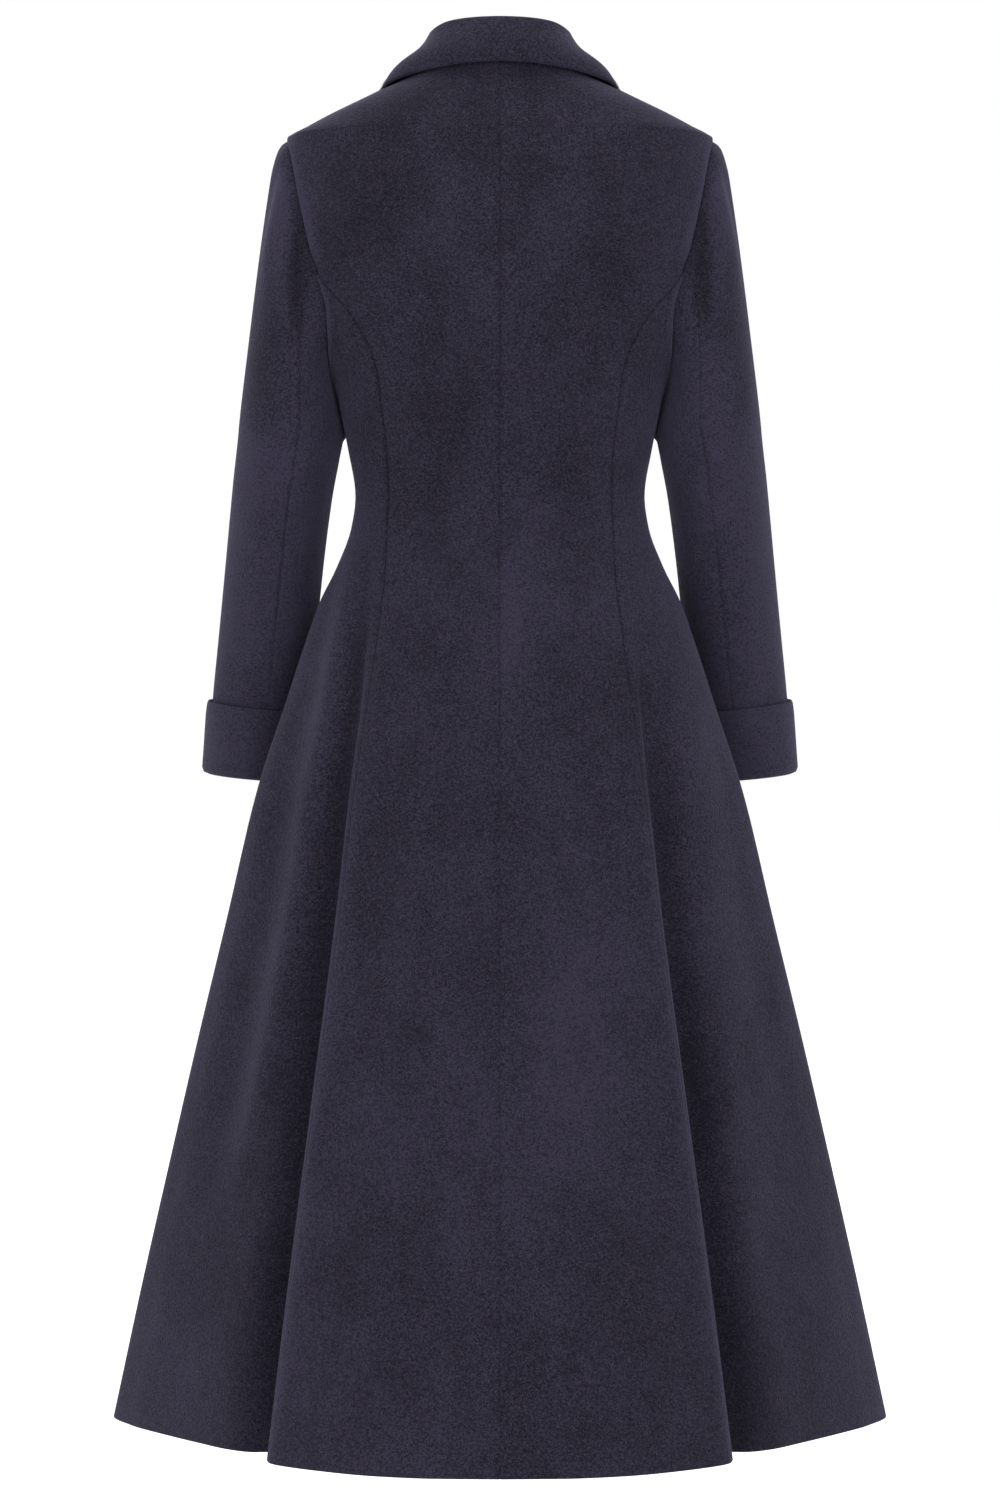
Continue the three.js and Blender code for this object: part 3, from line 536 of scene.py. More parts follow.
def noise(place, scale, detail, roughness, stretch=None):
    """Noise on the piece's own coordinates, from 0 to 1 and mostly near the middle."""
    if stretch is not None:
        place = place.node("ShaderNodeMapping", "Vector", Vector=place, Scale=stretch)
    sizes = {"Scale": scale, "Detail": detail, "Roughness": roughness}
    return place.node("ShaderNodeTexNoise", "Fac", Vector=place, **sizes)


# Brushed wool: the nap lies in soft clouds, darker where it is stroked one way, over a
# fine matted grain, with a bluish bloom where it is seen edge on.
NAP_DARK = (0.0030, 0.0024, 0.0056, 1)
NAP_LIGHT = (0.0245, 0.0210, 0.0395, 1)
NAP_BALANCE = 0.37
# Clouds, patches, matting, grain and fibres: the scale, detail, roughness and stretch of each,
# the range of it that shows, and its shares of the tone and of the height.
WOOL_LAYERS = (
    (6, 2, 0.5, (1.2, 1.0, 0.8), 0.34, 0.68, 0.2, 0),
    (24, 5, 0.7, (1.1, 1.0, 0.75), 0.36, 0.64, 0.17, 0),
    (430, 2, 0.6, None, 0.36, 0.64, 0.42, 0.5),
    (800, 2, 0.7, None, 0.4, 0.6, 0.6, 0.35),
    (2600, 2, 0.7, (1, 1, 0.45), 0.38, 0.62, 0.34, 0.15),
)
# The colour sockets of a Mix node.
MIX_FIRST = 6
MIX_SECOND = 7
MIX_RESULT = 2


def brushed_wool(name):
    material, shader, place = new_material(name)
    nap, height = 0, 0
    for *layer, low, high, tone, rise in WOOL_LAYERS:
        spots = noise(place, *layer).ramp(low, high)
        nap = spots * tone + nap
        height = spots * rise + height
    # The painted shade and highlights stored on each piece, with some of the nap's own tone, darken or
    # lighten the cloth here.
    pressed = place.node("ShaderNodeAttribute", "Fac", {"attribute_name": "tone_and_painted_light"})
    nap = nap - pressed - NAP_BALANCE
    colours = {"data_type": "RGBA"}
    blend = place.node("ShaderNodeMix", MIX_RESULT, colours).socket.node
    blend.inputs[MIX_FIRST].default_value = NAP_DARK
    blend.inputs[MIX_SECOND].default_value = NAP_LIGHT
    nap.feed(blend.inputs["Factor"])
    Value(place.tree, blend.outputs[MIX_RESULT]).feed(shader.inputs["Base Color"])
    bump = place.node("ShaderNodeBump", "Normal", Strength=0.5, Distance=0.0012, Height=height)
    bump.feed(shader.inputs["Normal"])
    shader.inputs["Roughness"].default_value = 0.95
    shader.inputs["Specular IOR Level"].default_value = 0.15
    shader.inputs["Sheen Weight"].default_value = 0.12
    shader.inputs["Sheen Roughness"].default_value = 0.4
    shader.inputs["Sheen Tint"].default_value = (0.50, 0.47, 0.75, 1)
    return material


coat_cloth = brushed_wool("coat_cloth")


def armhole_degrees(z):
    """Where a height lies round the armhole, in degrees from the shoulder tip."""
    return math.degrees(math.acos(2 * (z - UNDERARM_Z) / (SHOULDER_TIP_Z - UNDERARM_Z) - 1))


BACK_COLUMNS = 36
SIDE_COLUMNS = 40
ARMHOLE_ROWS = 28
SKIRT_ROWS = 131
CHEST_ROWS = 19
SHOULDER_ROWS = 15
FOLDED_HEM = (1.2, 3.0)


def armhole_turns(seam_top):
    """The turns from the top of a princess seam up to the shoulder tip, which the panels'
    rows and the sleeve's columns share, so that their edges meet."""
    return np.linspace(armhole_degrees(seam_top), 0, ARMHOLE_ROWS)


def heights(at, seam_top, top):
    """The rows of one column from the hem up, in step with the panels beside it."""
    blade_top = top(at) if seam_top is None else seam_top
    low = mix(HEM_Z, CHEST_Z, np.linspace(0, 1, SKIRT_ROWS))
    rows = [low[:1], HEM_Z + np.array(FOLDED_HEM), low[1:]]
    rows.append(mix(CHEST_Z, blade_top, np.linspace(0, 1, CHEST_ROWS)[1:]))
    if seam_top is not None:
        share = (SHOULDER_TIP_Z - seam_top) / -seam_top
        tip = min(SHOULDER_TIP_Z, mix(seam_top, top(at), share))
        turned = mix(UNDERARM_Z, SHOULDER_TIP_Z, (1 + np.cos(np.radians(armhole_turns(seam_top)))) / 2)
        shares = (turned - seam_top) / (SHOULDER_TIP_Z - seam_top)
        rows.append(mix(seam_top, tip, shares[1:]))
        rows.append(mix(tip, top(at), np.linspace(0, 1, SHOULDER_ROWS)[1:]))
    return np.concatenate(rows)


def drawn_in(outer, side_gap, top_gap):
    """Draws the grid's rim in by half a seam's gap, so that neighbours stay apart."""
    result = outer.copy()
    result[0] += unit(outer[1] - outer[0]) * side_gap / 2
    result[-1] += unit(outer[-2] - outer[-1]) * side_gap / 2
    result[:, -1] += unit(outer[:, -2] - outer[:, -1]) * top_gap / 2
    return result


PRESS_DEPTH = 0.8
PRESS_REACH = 1.4
ROLLED_PRESS = 0.45
ROLLED_HEIGHTS = (-620, -430)
ROLL_IN = 6
ROLL_WIDTH = 6
ROLL_RISE = 2.4
ROLL_HIGHLIGHT = 0.55
ROLL_START = 2
ROLL_FULL = 22
SHOULDER_WIDTH = 13
SHOULDER_HIGHLIGHT = 0.3


def from_edge(outer, edge):
    """How far each point lies from one edge of its grid, in millimetres."""
    line = {"first": outer[:1], "last": outer[-1:], "top": outer[:, -1:]}[edge]
    return np.linalg.norm(outer - line, axis=-1)


def pressed_edges(outer, normal, shades, tone_and_light):
    """Sinks the cloth a little along its sewn edges, as a pressed seam draws it, and paints shade
    along the groove. The groove is shallower where the skirt rolls over the seam."""
    firm = mix(ROLLED_PRESS, 1, smooth_step(*ROLLED_HEIGHTS, outer[..., 2]))
    moved = outer
    for edge, shade in shades.items():
        sunk = np.exp(-((from_edge(outer, edge) / PRESS_REACH) ** 2)) * firm
        moved = moved - normal * (sunk * PRESS_DEPTH)[..., None]
        tone_and_light = tone_and_light + sunk * shade
    return moved, tone_and_light


def rolled_armhole(outer, normal, tone_and_light, edge, seam_top):
    """Raises the soft roll that the body's cloth makes over the sleeve's seam, and paints a highlight
    along it. On a panel that reaches the shoulder it starts above the seam's top."""
    roll = np.exp(-(((from_edge(outer, edge) - ROLL_IN) / ROLL_WIDTH) ** 2))
    if edge != "top":
        roll = roll * smooth_step(seam_top + ROLL_START, seam_top + ROLL_FULL, outer[..., 2])
    return outer + normal * (ROLL_RISE * roll)[..., None], tone_and_light - ROLL_HIGHLIGHT * roll


def shoulder_highlight(outer, tone_and_light):
    """Paints a highlight along the shoulder seam, where the cloth bends over into the light from above.
    """
    return tone_and_light - SHOULDER_HIGHLIGHT * np.exp(-((from_edge(outer, "top") / SHOULDER_WIDTH) ** 2))


def panel_grid(places, seam_top, top, hand):
    """A panel's outer face and outward directions, with its folds worked in."""
    z = np.stack([heights(at, seam_top, top) for at in places])
    at = np.broadcast_to(places[:, None], z.shape).copy()
    outer = body_points(at, z)
    normal = body_normals(at, z)
    relief = fold_relief(BODY_FOLDS, hand, at, z)
    outer = drawn_in(outer + normal * relief[..., None], SEAM_GAP, SEAM_GAP)
    tone_and_light = fold_relief(SHADE_HIGHLIGHT_AND_TONE_BANDS, hand, at, z)
    return outer, grid_normals(outer, normal), tone_and_light


def grid_normals(outer, guess):
    """Outward directions from the grid itself, kept to the guess along its rim so that
    neighbouring pieces agree."""
    along = np.gradient(outer, axis=1)
    around = np.gradient(outer, axis=0)
    made = unit(np.cross(along, around))
    made[[0, -1]] = guess[[0, -1]]
    made[:, -1] = guess[:, -1]
    return made


def back_top(at):
    return NAPE_Z * (1 - at * at)


def side_back_top(at):
    return UNDERARM_Z + (BACK_SEAM_TOP_Z - UNDERARM_Z) * max(0, 2 - at) ** SCOOP_BACK


def side_front_top(at):
    return UNDERARM_Z + (FRONT_SEAM_TOP_Z - UNDERARM_Z) * max(0, at - 2) ** SCOOP_FRONT


# Painted shade along each panel's sewn edges, deeper along the princess seams.
PRINCESS_SHADE = 0.32
PANEL_SHADES = {
    "back": {"first": SEAM_SHADE, "last": PRINCESS_SHADE},
    "side_back": {"first": PRINCESS_SHADE, "last": SEAM_SHADE},
    "side_front": {"first": SEAM_SHADE, "last": PRINCESS_SHADE},
}
SIDES = (("left", 1), ("right", -1))
for side, hand in SIDES:
    for name, places, seam_top, top in (
        ("back", spread(BACK_COLUMNS), BACK_SEAM_TOP_Z, back_top),
        ("side_back", 1 + spread(SIDE_COLUMNS), None, side_back_top),
        ("side_front", 2 + spread(SIDE_COLUMNS), None, side_front_top),
    ):
        outer, normal, tone_and_light = panel_grid(places, seam_top, top, hand)
        if seam_top is not None:
            tone_and_light = shoulder_highlight(outer, tone_and_light)
        armhole = "top" if seam_top is None else "last"
        outer, tone_and_light = rolled_armhole(outer, normal, tone_and_light, armhole, seam_top)
        outer, tone_and_light = pressed_edges(outer, normal, PANEL_SHADES[name], tone_and_light)
        nodes = (f"{name}_{side}", f"{name}_skirt_{side}")
        sewn_sheet(f"{name}_panel_{side}", outer, normal, tone_and_light, nodes, hand)

# Fronts
# Two front panels of the same cloth, each cut on past the centre as a button stand. The
# right one is buttoned over the left one, and is drawn here from the same cut.
NECKLINE = ((3, 0), (3.3, -5), (3.55, -17), (3.75, -44), (3.89, -71), (4, -88))
FRONT_COLUMNS = 34
FRONT_FADE = (3.6, 3.85)
BUTTON_STAND = 20
STAND_COLUMNS = 7
STAND_STEP = 0.1
LAP_LIFT = 3.2
LAP_RAMP = (-54, -26)
neckline_at = curve(*zip(*NECKLINE))


def front_top(at):
    return float(neckline_at(8 - at if at > 4 else at))


def seam_width(z):
    """How wide one whole seam count is beside the centre front, in millimetres."""
    return np.abs(body_points(4 - STAND_STEP, z)[..., 0]) / STAND_STEP


def lap_lift(x):
    """How far the right front stands off the left one, x millimetres from the centre line."""
    return LAP_LIFT * smooth_step(*LAP_RAMP, -x)


def front_grid(hand):
    shares = np.linspace(0, 1, STAND_COLUMNS + 1)[1:]
    columns = 3 + spread(FRONT_COLUMNS)
    past = np.concatenate([np.zeros(len(columns)), shares])[:, None]
    columns = np.concatenate([columns, np.full(len(shares), 4.0)])
    z = np.stack([heights(at, FRONT_SEAM_TOP_Z, front_top) for at in columns])
    at = columns[:, None] + past * BUTTON_STAND / seam_width(z)
    outer = body_points(at, z)
    normal = body_normals(at, z)
    relief = fold_relief(BODY_FOLDS, hand, np.minimum(at, 8 - at), z)
    relief = relief * (1 - smooth_step(*FRONT_FADE, at))
    outer = drawn_in(outer + normal * relief[..., None], SEAM_GAP, SEAM_GAP)
    if hand < 0:
        outer = outer + normal * lap_lift(outer[..., 0])[..., None]
    return outer, grid_normals(outer, normal)


for side, hand in SIDES:
    outer, normal = front_grid(hand)
    tone_and_light = shoulder_highlight(outer, np.zeros(outer.shape[:2]))
    outer, tone_and_light = rolled_armhole(outer, normal, tone_and_light, "first", FRONT_SEAM_TOP_Z)
    outer, tone_and_light = pressed_edges(outer, normal, {"first": PRINCESS_SHADE}, tone_and_light)
    nodes = (f"front_{side}", f"front_skirt_{side}")
    sewn_sheet(f"front_panel_{side}", outer, normal, tone_and_light, nodes, hand, soft=("foot", "last"))

# Sleeves
# Each sleeve is cut in a top and an under piece of the same cloth, sewn at the hind-arm
# and fore-arm seams and set into the armhole. It hangs straight and a little forward.
SLEEVE_COLUMNS = "ring inner_x inner_z outer_x outer_z mid depth hind"
SLEEVE_ROWS = [
    (0, 150, -281, 190.5, -61, -5, 53, 98), (1, 150.5, -283.5, 199.5, -68, -5, 55, 98),
    (2, 150.6, -286, 206, -86, -5, 57, 99), (3, 150.5, -289, 211, -115, -5, 58, 100),
    (4, 150, -292.5, 216.5, -153, -5, 59, 101), (5, 148.9, -297, 222, -195, -5, 59, 102),
    (6, 146.6, -306, 228, -243, -6, 59, 103), (7, 142.4, -327, 236, -308, -8, 58, 103),
    (8, 146.3, -350, 239, -336, -12, 57, 103), (9, 151.8, -378, 242.5, -365, -15, 56, 103),
    (10, 156.8, -410, 246.2, -398, -21, 55, 103), (11, 161.7, -446, 250.3, -434, -30, 54, 103),
    (12, 166.5, -486, 255, -474, -41, 53, 103), (13, 171.5, -526, 259.8, -514, -52, 51.5, 103),
    (14, 176.5, -565, 264.8, -555, -63, 50, 103), (15, 180, -604, 268.8, -596, -71, 49, 103),
    (16, 183, -643, 272, -635, -77, 48.5, 103),
]
TILT_SHARE = 0.35
HEAD_RINGS = 5
HEAD_FADE = 1.6
RING_STEP = 0.05
TURN_STEP = 0.5
SLEEVE_END = 15.72
ARMHOLE_GAP = 0.1
SLEEVE_SEAM_GAP = 0.3
REST_GAP = 0.25
REST_MOST = 7
REST_WITHIN = 175
REST_LOW = (-335, -324)
REST_HIGH = (-282, -288)
REST_BACK = (12, -2)
REST_FRONT = (-52, -36)
SEAM_RINGS = (0.06, 0.16)
HEAD_ROWS = 34
ARM_ROWS = 104
EASE_RISE = 0.5
EASE_WAVES = 17
EASE_RING = 0.5
EASE_SPREAD = 0.45
EASE_OVER = 0.1
SLEEVE_PAINTED_LIGHT = 0.24
FOLDS_FROM = (0.3, 2)
FOLDS_TO = (14, 14.5)
HEAD_SHADE = 0.3
SHADE_RINGS = 1.6
SHADE_TURNS = (20, 60)
FORE_SEAM = 2.78
UNDERARM_HALF = 150
SHOULDER_HALF = 190.5
sleeve_at = table(SLEEVE_COLUMNS, SLEEVE_ROWS)
armhole_facing = unit(np.array([SHOULDER_TIP_Z - UNDERARM_Z, 0.0, UNDERARM_HALF - SHOULDER_HALF]))
HIND_TURN = armhole_degrees(BACK_SEAM_TOP_Z)
FORE_TURN = 360 - armhole_degrees(side_front_top(FORE_SEAM))


def armhole_points(turns):
    """The armhole's edge, counted in degrees from the shoulder tip over the back."""
    turns = (turns + 180) % 360 - 180
    z = mix(UNDERARM_Z, SHOULDER_TIP_Z, (1 + np.cos(np.radians(turns))) / 2)
    behind = turns > 0
    seam_top = np.where(behind, BACK_SEAM_TOP_Z, FRONT_SEAM_TOP_Z)
    rise = np.clip((z - UNDERARM_Z) / (seam_top - UNDERARM_Z), 0, 1)
    scooped = np.where(behind, 2 - rise ** (1 / SCOOP_BACK), 2 + rise ** (1 / SCOOP_FRONT))
    return body_points(np.where(z > seam_top, np.where(behind, 1, 3), scooped), z)


def plain_rings(ring, degrees):
    """The sleeve as plain tilted ovals, before its head is drawn into the armhole."""
    row = sleeve_at(ring)
    before, after = sleeve_at(np.maximum(0, ring - 0.5)), sleeve_at(ring + 0.5)
    fall = after["inner_z"] + after["outer_z"] - before["inner_z"] - before["outer_z"]
    swing = TILT_SHARE * 2 * (after["mid"] - before["mid"]) / fall
    angle = np.radians(degrees)
    share = (1 + np.cos(angle)) / 2
    offset = row["depth"] * np.sin(angle)
    x = mix(row["inner_x"], row["outer_x"], share)
    z = mix(row["inner_z"], row["outer_z"], share) - offset * swing
    return np.stack([x, row["mid"] + offset, z], -1)


def sleeve_points(turns, ring):
    """The left sleeve at a turn in degrees round it and a ring down it."""
    turns, ring = np.broadcast_arrays(np.asarray(turns, float), np.asarray(ring, float))
    hind = sleeve_at(ring)["hind"]
    loop = turns % 360
    behind = (loop > 0) & (loop <= HIND_TURN)
    ahead = (loop > HIND_TURN) & (loop <= 180)
    degrees = np.where(behind, loop * hind / HIND_TURN, turns)
    degrees = np.where(ahead, 180 - (180 - loop) * (180 - hind) / (180 - HIND_TURN), degrees)
    fade = np.maximum(0, 1 - ring / HEAD_RINGS)[..., None] ** HEAD_FADE
    head = armhole_points(turns) - plain_rings(np.zeros_like(ring), turns)
    return plain_rings(ring, degrees) + fade * (head + ARMHOLE_GAP * armhole_facing)


def sleeve_normals(turns, ring):
    down = sleeve_points(turns, ring + RING_STEP) - sleeve_points(turns, np.maximum(ring - RING_STEP, 0))
    around = sleeve_points(turns + TURN_STEP, ring) - sleeve_points(turns - TURN_STEP, ring)
    normal = unit(np.cross(down, around))
    first = np.broadcast_to(np.asarray(ring) < RING_STEP, normal.shape[:-1])
    over = np.maximum(0, normal @ armhole_facing)[..., None] * armhole_facing
    return np.where(first[..., None], unit(normal - over), normal)


# The creases are kept as ring and turn pairs along each, as the body's are.
SLEEVE_FOLDS = [
    # drag lines under the elbow and at the crook of the left arm
    (1, 7, -1.5, ((7.2, 120), (7.9, 95), (8.8, 70))),
    (1, 9, 1.6, ((7.8, 132), (8.6, 108), (9.6, 80))),
    (1, 8, -1.3, ((9.2, 140), (10.0, 118), (10.9, 88))),
    (-1, 8, -1.5, ((7.6, 128), (8.4, 104), (9.4, 76))),
    (-1, 10, 1.5, ((8.4, 140), (9.3, 112), (10.4, 84))),
    (-1, 8, -1.1, ((10.0, 132), (10.9, 110), (11.7, 86))),
    # hollows and drag lines behind the head, under the roll of the armhole
    (1, 13, -3.2, ((0.5, 76), (1.8, 88), (3.8, 92))),
    (-1, 12, -2.8, ((0.5, 72), (1.7, 86), (3.6, 90))),
    (1, 9, 2.4, ((0.6, 60), (2.0, 48), (4.2, 36))),
    (-1, 9, 2.1, ((0.7, 58), (2.2, 46), (4.4, 32))),
    (0, 9, -1.6, ((0.6, 36), (2.0, 28), (3.6, 20))),
    # long soft hollows down the hind arm
    (1, 12, -1.8, ((2.5, 84), (4.5, 88), (6.5, 86))),
    (-1, 12, -1.7, ((2.2, 80), (4.2, 86), (6.2, 88))),
    (1, 11, 1.3, ((10.5, 72), (12.5, 76), (14.6, 78))),
    (-1, 11, 1.2, ((11.0, 66), (12.8, 72), (14.4, 76))),
    # the hidden fore arm breaks the same way
    (1, 9, -1.6, ((8.2, -60), (9.0, -84), (9.8, -108))),
    (-1, 9, -1.5, ((7.9, -64), (8.8, -88), (9.7, -110))),
    (1, 10, 1.2, ((9.4, -66), (10.4, -90), (11.2, -112))),
    (-1, 12, -1.4, ((3.0, -84), (4.6, -88), (6.0, -92))),
]
GIRTH_SHARE = 1.1
SLEEVE_FADE = 0.35
# Painted highlights along the drag line over the head and lower down the arm, and painted
# shade in the hollows behind and below them.
SLEEVE_SHADE_AND_HIGHLIGHT_BANDS = [
    (0, 9, -0.4, ((0.6, 60), (2.0, 48), (4.2, 36))),
    (0, 16, 0.62, ((0.5, 76), (1.8, 86), (4.6, 88))),
    (0, 9, 0.2, ((0.6, 36), (2.0, 28), (3.6, 20))),
    (0, 18, 0.3, ((3.8, 44), (4.8, 54), (5.8, 64))),
    (1, 26, 0.44, ((5.0, 26), (6.0, 38), (7.4, 50))),
    (-1, 24, 0.36, ((5.2, 30), (6.2, 40), (7.3, 54))),
    (0, 14, -0.1, ((7.5, 50), (9.0, 46), (12.0, 44))),
]


def sleeve_relief(folds, hand, turns, ring):
    """How far the folds of one hand move the sleeve's cloth out, in millimetres."""
    total = np.zeros(np.broadcast(turns, ring).shape)
    for side, width, rise, path in folds:
        if side not in (0, hand):
            continue
        rings = [level for level, _ in path]
        line = curve(rings, [turn for _, turn in path])(ring)
        turned = (turns - line + 180) % 360 - 180
        away = np.radians(turned) * sleeve_at(ring)["depth"] * GIRTH_SHARE
        run = SLEEVE_FADE * (rings[-1] - rings[0])
        ends = smooth_step(rings[0] - run, rings[0] + run, ring)
        ends = ends * (1 - smooth_step(rings[-1] - run, rings[-1] + run, ring))
        total = total + rise * np.exp(-((away / width) ** 2)) * ends
    return total


def body_half_width(y, z):
    """How far out the body reaches at a depth and a height above the waist."""
    s = section_at(z)
    share = np.abs(y) / np.where(y > 0, s["back"], s["front"])
    return s["width"] * np.maximum(0, 1 - share ** s["square"]) ** (1 / s["square"])


def resting_inside(outer):
    """Lets the sleeve's inner side rest against the body below the armhole."""
    x, y, z = np.moveaxis(outer, -1, 0)
    away = x - body_half_width(y, z) - REST_GAP
    here = smooth_step(*REST_LOW, z) * smooth_step(*REST_HIGH, z)
    here = here * smooth_step(*REST_BACK, y) * smooth_step(*REST_FRONT, y) * (x < REST_WITHIN)
    return outer - (np.clip(away, 0, REST_MOST) * here)[..., None] * (1, 0, 0)


def eased_head(turns, rings, hand):
    """The small soft swellings of the head's fullness, eased into the armhole."""
    swelling = EASE_RISE * np.sin(np.radians(turns) * EASE_WAVES + hand)
    swelling = swelling * np.exp(-(((rings - EASE_RING) / EASE_SPREAD) ** 2))
    return swelling * (np.cos(np.radians(turns)) > EASE_OVER)


def sleeve_piece(kind, side, turns, hand):
    turns = turns[:, None]
    head = np.linspace(0, HEAD_RINGS, HEAD_ROWS)[1:]
    arm = np.linspace(HEAD_RINGS, SLEEVE_END, ARM_ROWS)[1:]
    rings = np.concatenate([[0], SEAM_RINGS, head, arm])[None]
    outer = sleeve_points(turns, rings)
    normal = sleeve_normals(turns, rings)
    relief = sleeve_relief(SLEEVE_FOLDS, hand, turns, rings)
    relief = relief * smooth_step(*FOLDS_FROM, rings) * (1 - smooth_step(*FOLDS_TO, rings))
    relief = relief + eased_head(turns, rings, hand)
    outer = resting_inside(outer + normal * relief[..., None])
    outer = drawn_in(outer, SLEEVE_SEAM_GAP, 0)
    made = unit(np.cross(np.gradient(outer, axis=1), np.gradient(outer, axis=0)))
    made[[0, -1]] = normal[[0, -1]]
    made[:, 0] = normal[:, 0]
    # Painted shade on the sleeve head beside the armhole, the painted shade and highlight bands, and the
    # whole sleeve painted a little lighter where the side light falls on it.
    tone_and_light = HEAD_SHADE * np.exp(-((rings / SHADE_RINGS) ** 2))
    tone_and_light = tone_and_light * smooth_step(*SHADE_TURNS, np.abs((turns + 180) % 360 - 180))
    tone_and_light = tone_and_light + sleeve_relief(SLEEVE_SHADE_AND_HIGHLIGHT_BANDS, hand, turns, rings) - SLEEVE_PAINTED_LIGHT
    outer, tone_and_light = pressed_edges(outer, made, {"first": SEAM_SHADE, "last": SEAM_SHADE}, tone_and_light)
    sewn_sheet(f"{kind}_cloth_{side}", outer, made, tone_and_light, [f"{kind}_{side}"], hand, soft=())


# The sleeve's columns start at the points of the panels' armhole edges.
hind_turns = [armhole_degrees(side_back_top(1 + share)) for share in spread(SIDE_COLUMNS)]
fore_turns = {share: armhole_degrees(side_front_top(2 + share)) for share in spread(SIDE_COLUMNS)}
over_turns = [-turn for share, turn in fore_turns.items() if share > FORE_SEAM - 2]
low_turns = [360 - turn for share, turn in fore_turns.items() if 0 < share < FORE_SEAM - 2]
front_turns = -armhole_turns(FRONT_SEAM_TOP_Z)
back_turns = armhole_turns(BACK_SEAM_TOP_Z)[::-1]
top_turns = np.concatenate([[FORE_TURN - 360], over_turns[:-1], front_turns, back_turns[1:]])
under_turns = np.array(hind_turns + low_turns + [FORE_TURN])
for side, hand in SIDES:
    sleeve_piece("top_sleeve", side, top_turns, hand)
    sleeve_piece("under_sleeve", side, under_turns, hand)

# Cuffs
# A straight strip of the coat cloth for each sleeve, sewn to its end and turned up over it
# to the right side: the foot is a fold, and the top edge stands a little free.
CUFF_ROWS = [
    (-4.6, 15.96), (-0.5, 16), (3.6, 15.96), (5.2, 15.86), (5.1, 15.2), (4.8, 14.6), (4.2, 14.37),
    (3.2, 14.31), (1.6, 14.33), (1.2, 14.5), (1.4, 15.2), (1.6, 15.8), (-1.2, 15.88), (-3.4, 15.78),
    (-3.6, 15.3), (-6.2, 15.3), (-6.2, 15.86),
]
CUFF_WAVES = {1: (0.9, 0.6), -1: (0.8, 2.1)}
CUFF_STEPS = 3
CUFF_TURNS = 120
CUFF_LIGHTER = 0.32
LAST_RING = 15.9
FREE_EDGE_RING = 14.5
FOLD_OUT = 2
CUFF_FREE = (15.4, 14.3)
section_rows = np.array(CUFF_ROWS + CUFF_ROWS[:1], float)
section_places = np.linspace(0, len(CUFF_ROWS), CUFF_STEPS * len(CUFF_ROWS), endpoint=False)
cuff_outs, cuff_rings = [
    np.interp(section_places, np.arange(len(section_rows)), column) for column in section_rows.T
]
cuff_grid = np.arange(CUFF_TURNS * len(cuff_rings)).reshape(CUFF_TURNS, -1)
raised = (cuff_rings < FREE_EDGE_RING) | ((cuff_rings > LAST_RING) & (cuff_outs > FOLD_OUT))
cuff_edge_faces = cuff_grid[:, raised].ravel()


def cuff(side, hand):
    """The strip's closed section swept round the sleeve's end."""
    turns = np.linspace(0, 360, CUFF_TURNS, endpoint=False)[:, None]
    here = sleeve_points(turns, cuff_rings[None])
    normal = sleeve_normals(turns, np.minimum(cuff_rings, LAST_RING)[None] + 0 * turns)
    height, shift = CUFF_WAVES[hand]
    free = smooth_step(*CUFF_FREE, cuff_rings) * (cuff_outs > 0)
    slack = height * np.sin(np.radians(turns) * 2 + shift) * free
    points = here + normal * (cuff_outs + slack)[..., None]
    closed = np.pad(cuff_grid, ((0, 1), (0, 1)), "wrap")
    piece = hung_cloth(f"cuff_strip_{side}", points.reshape(-1, 3), grid_faces(closed), hand)
    # The cuff cloth is drawn a little lighter all over.
    set_tone_and_light(piece, np.full(cuff_grid.size, -CUFF_LIGHTER))
    hand_over(piece, [f"cuff_{side}"])
    return piece


cuffs = {side: cuff(side, hand) for side, hand in SIDES}

# Collar
# One piece of the cloth, doubled: a stand that rises from the neckline, rolls over and
# falls on to the shoulders, with two plain ends that meet at the throat.
COLLAR_COLUMNS = "w lean roll edge_w edge_z lift belly wave"
COLLAR_ROWS = [
    (0, 3, 37, 0, -6.5, 9, 2.5, 0.4), (0.2, 3.6, 36.8, 0.2, -8.2, 8.6, 2.3, 0.5),
    (0.4, 5, 36.2, 0.4, -12, 7.2, 1.8, 1), (0.7, 10.5, 33.4, 0.7, -16.5, 5.2, 1, 2.4),
    (1, 14.5, 31.5, 1, -18, 4.4, 0.2, 2.6), (1.3, 11, 21, 1.33, -26, 5.5, 0.5, 1.8),
    (1.55, 7, 2, 1.62, -48, 6, 2, 1), (1.76, 4, -30, 1.78, -88, 7.4, 2.5, 0),
    (1.9, 2, -56, 1.9, -116, 8, 2.5, 0), (2, 2, -68, 2, -127, 8, 2.5, 0),
]
COLLAR_CLOTH = 3.2
COLLAR_ROLL = 5
COLLAR_LIFT = 0.8
COLLAR_END_GAP = 5
NECK_CENTRE_Y = -5
STAND_SHARES = np.linspace(0, 1, 9)[:-1]
ROLL_DEGREES = np.linspace(180, 40, 12)
FALL_SHARES = np.linspace(0, 1, 30)[1:]
COLLAR_PLACES = np.concatenate([np.linspace(0, 0.98, 50), 1 + spread(60)])
collar_at = table(COLLAR_COLUMNS, COLLAR_ROWS)


def seams_at(w):
    """Places round the neck run from the back seam to the shoulder, then down the front."""
    return w if w <= 1 else w + 2


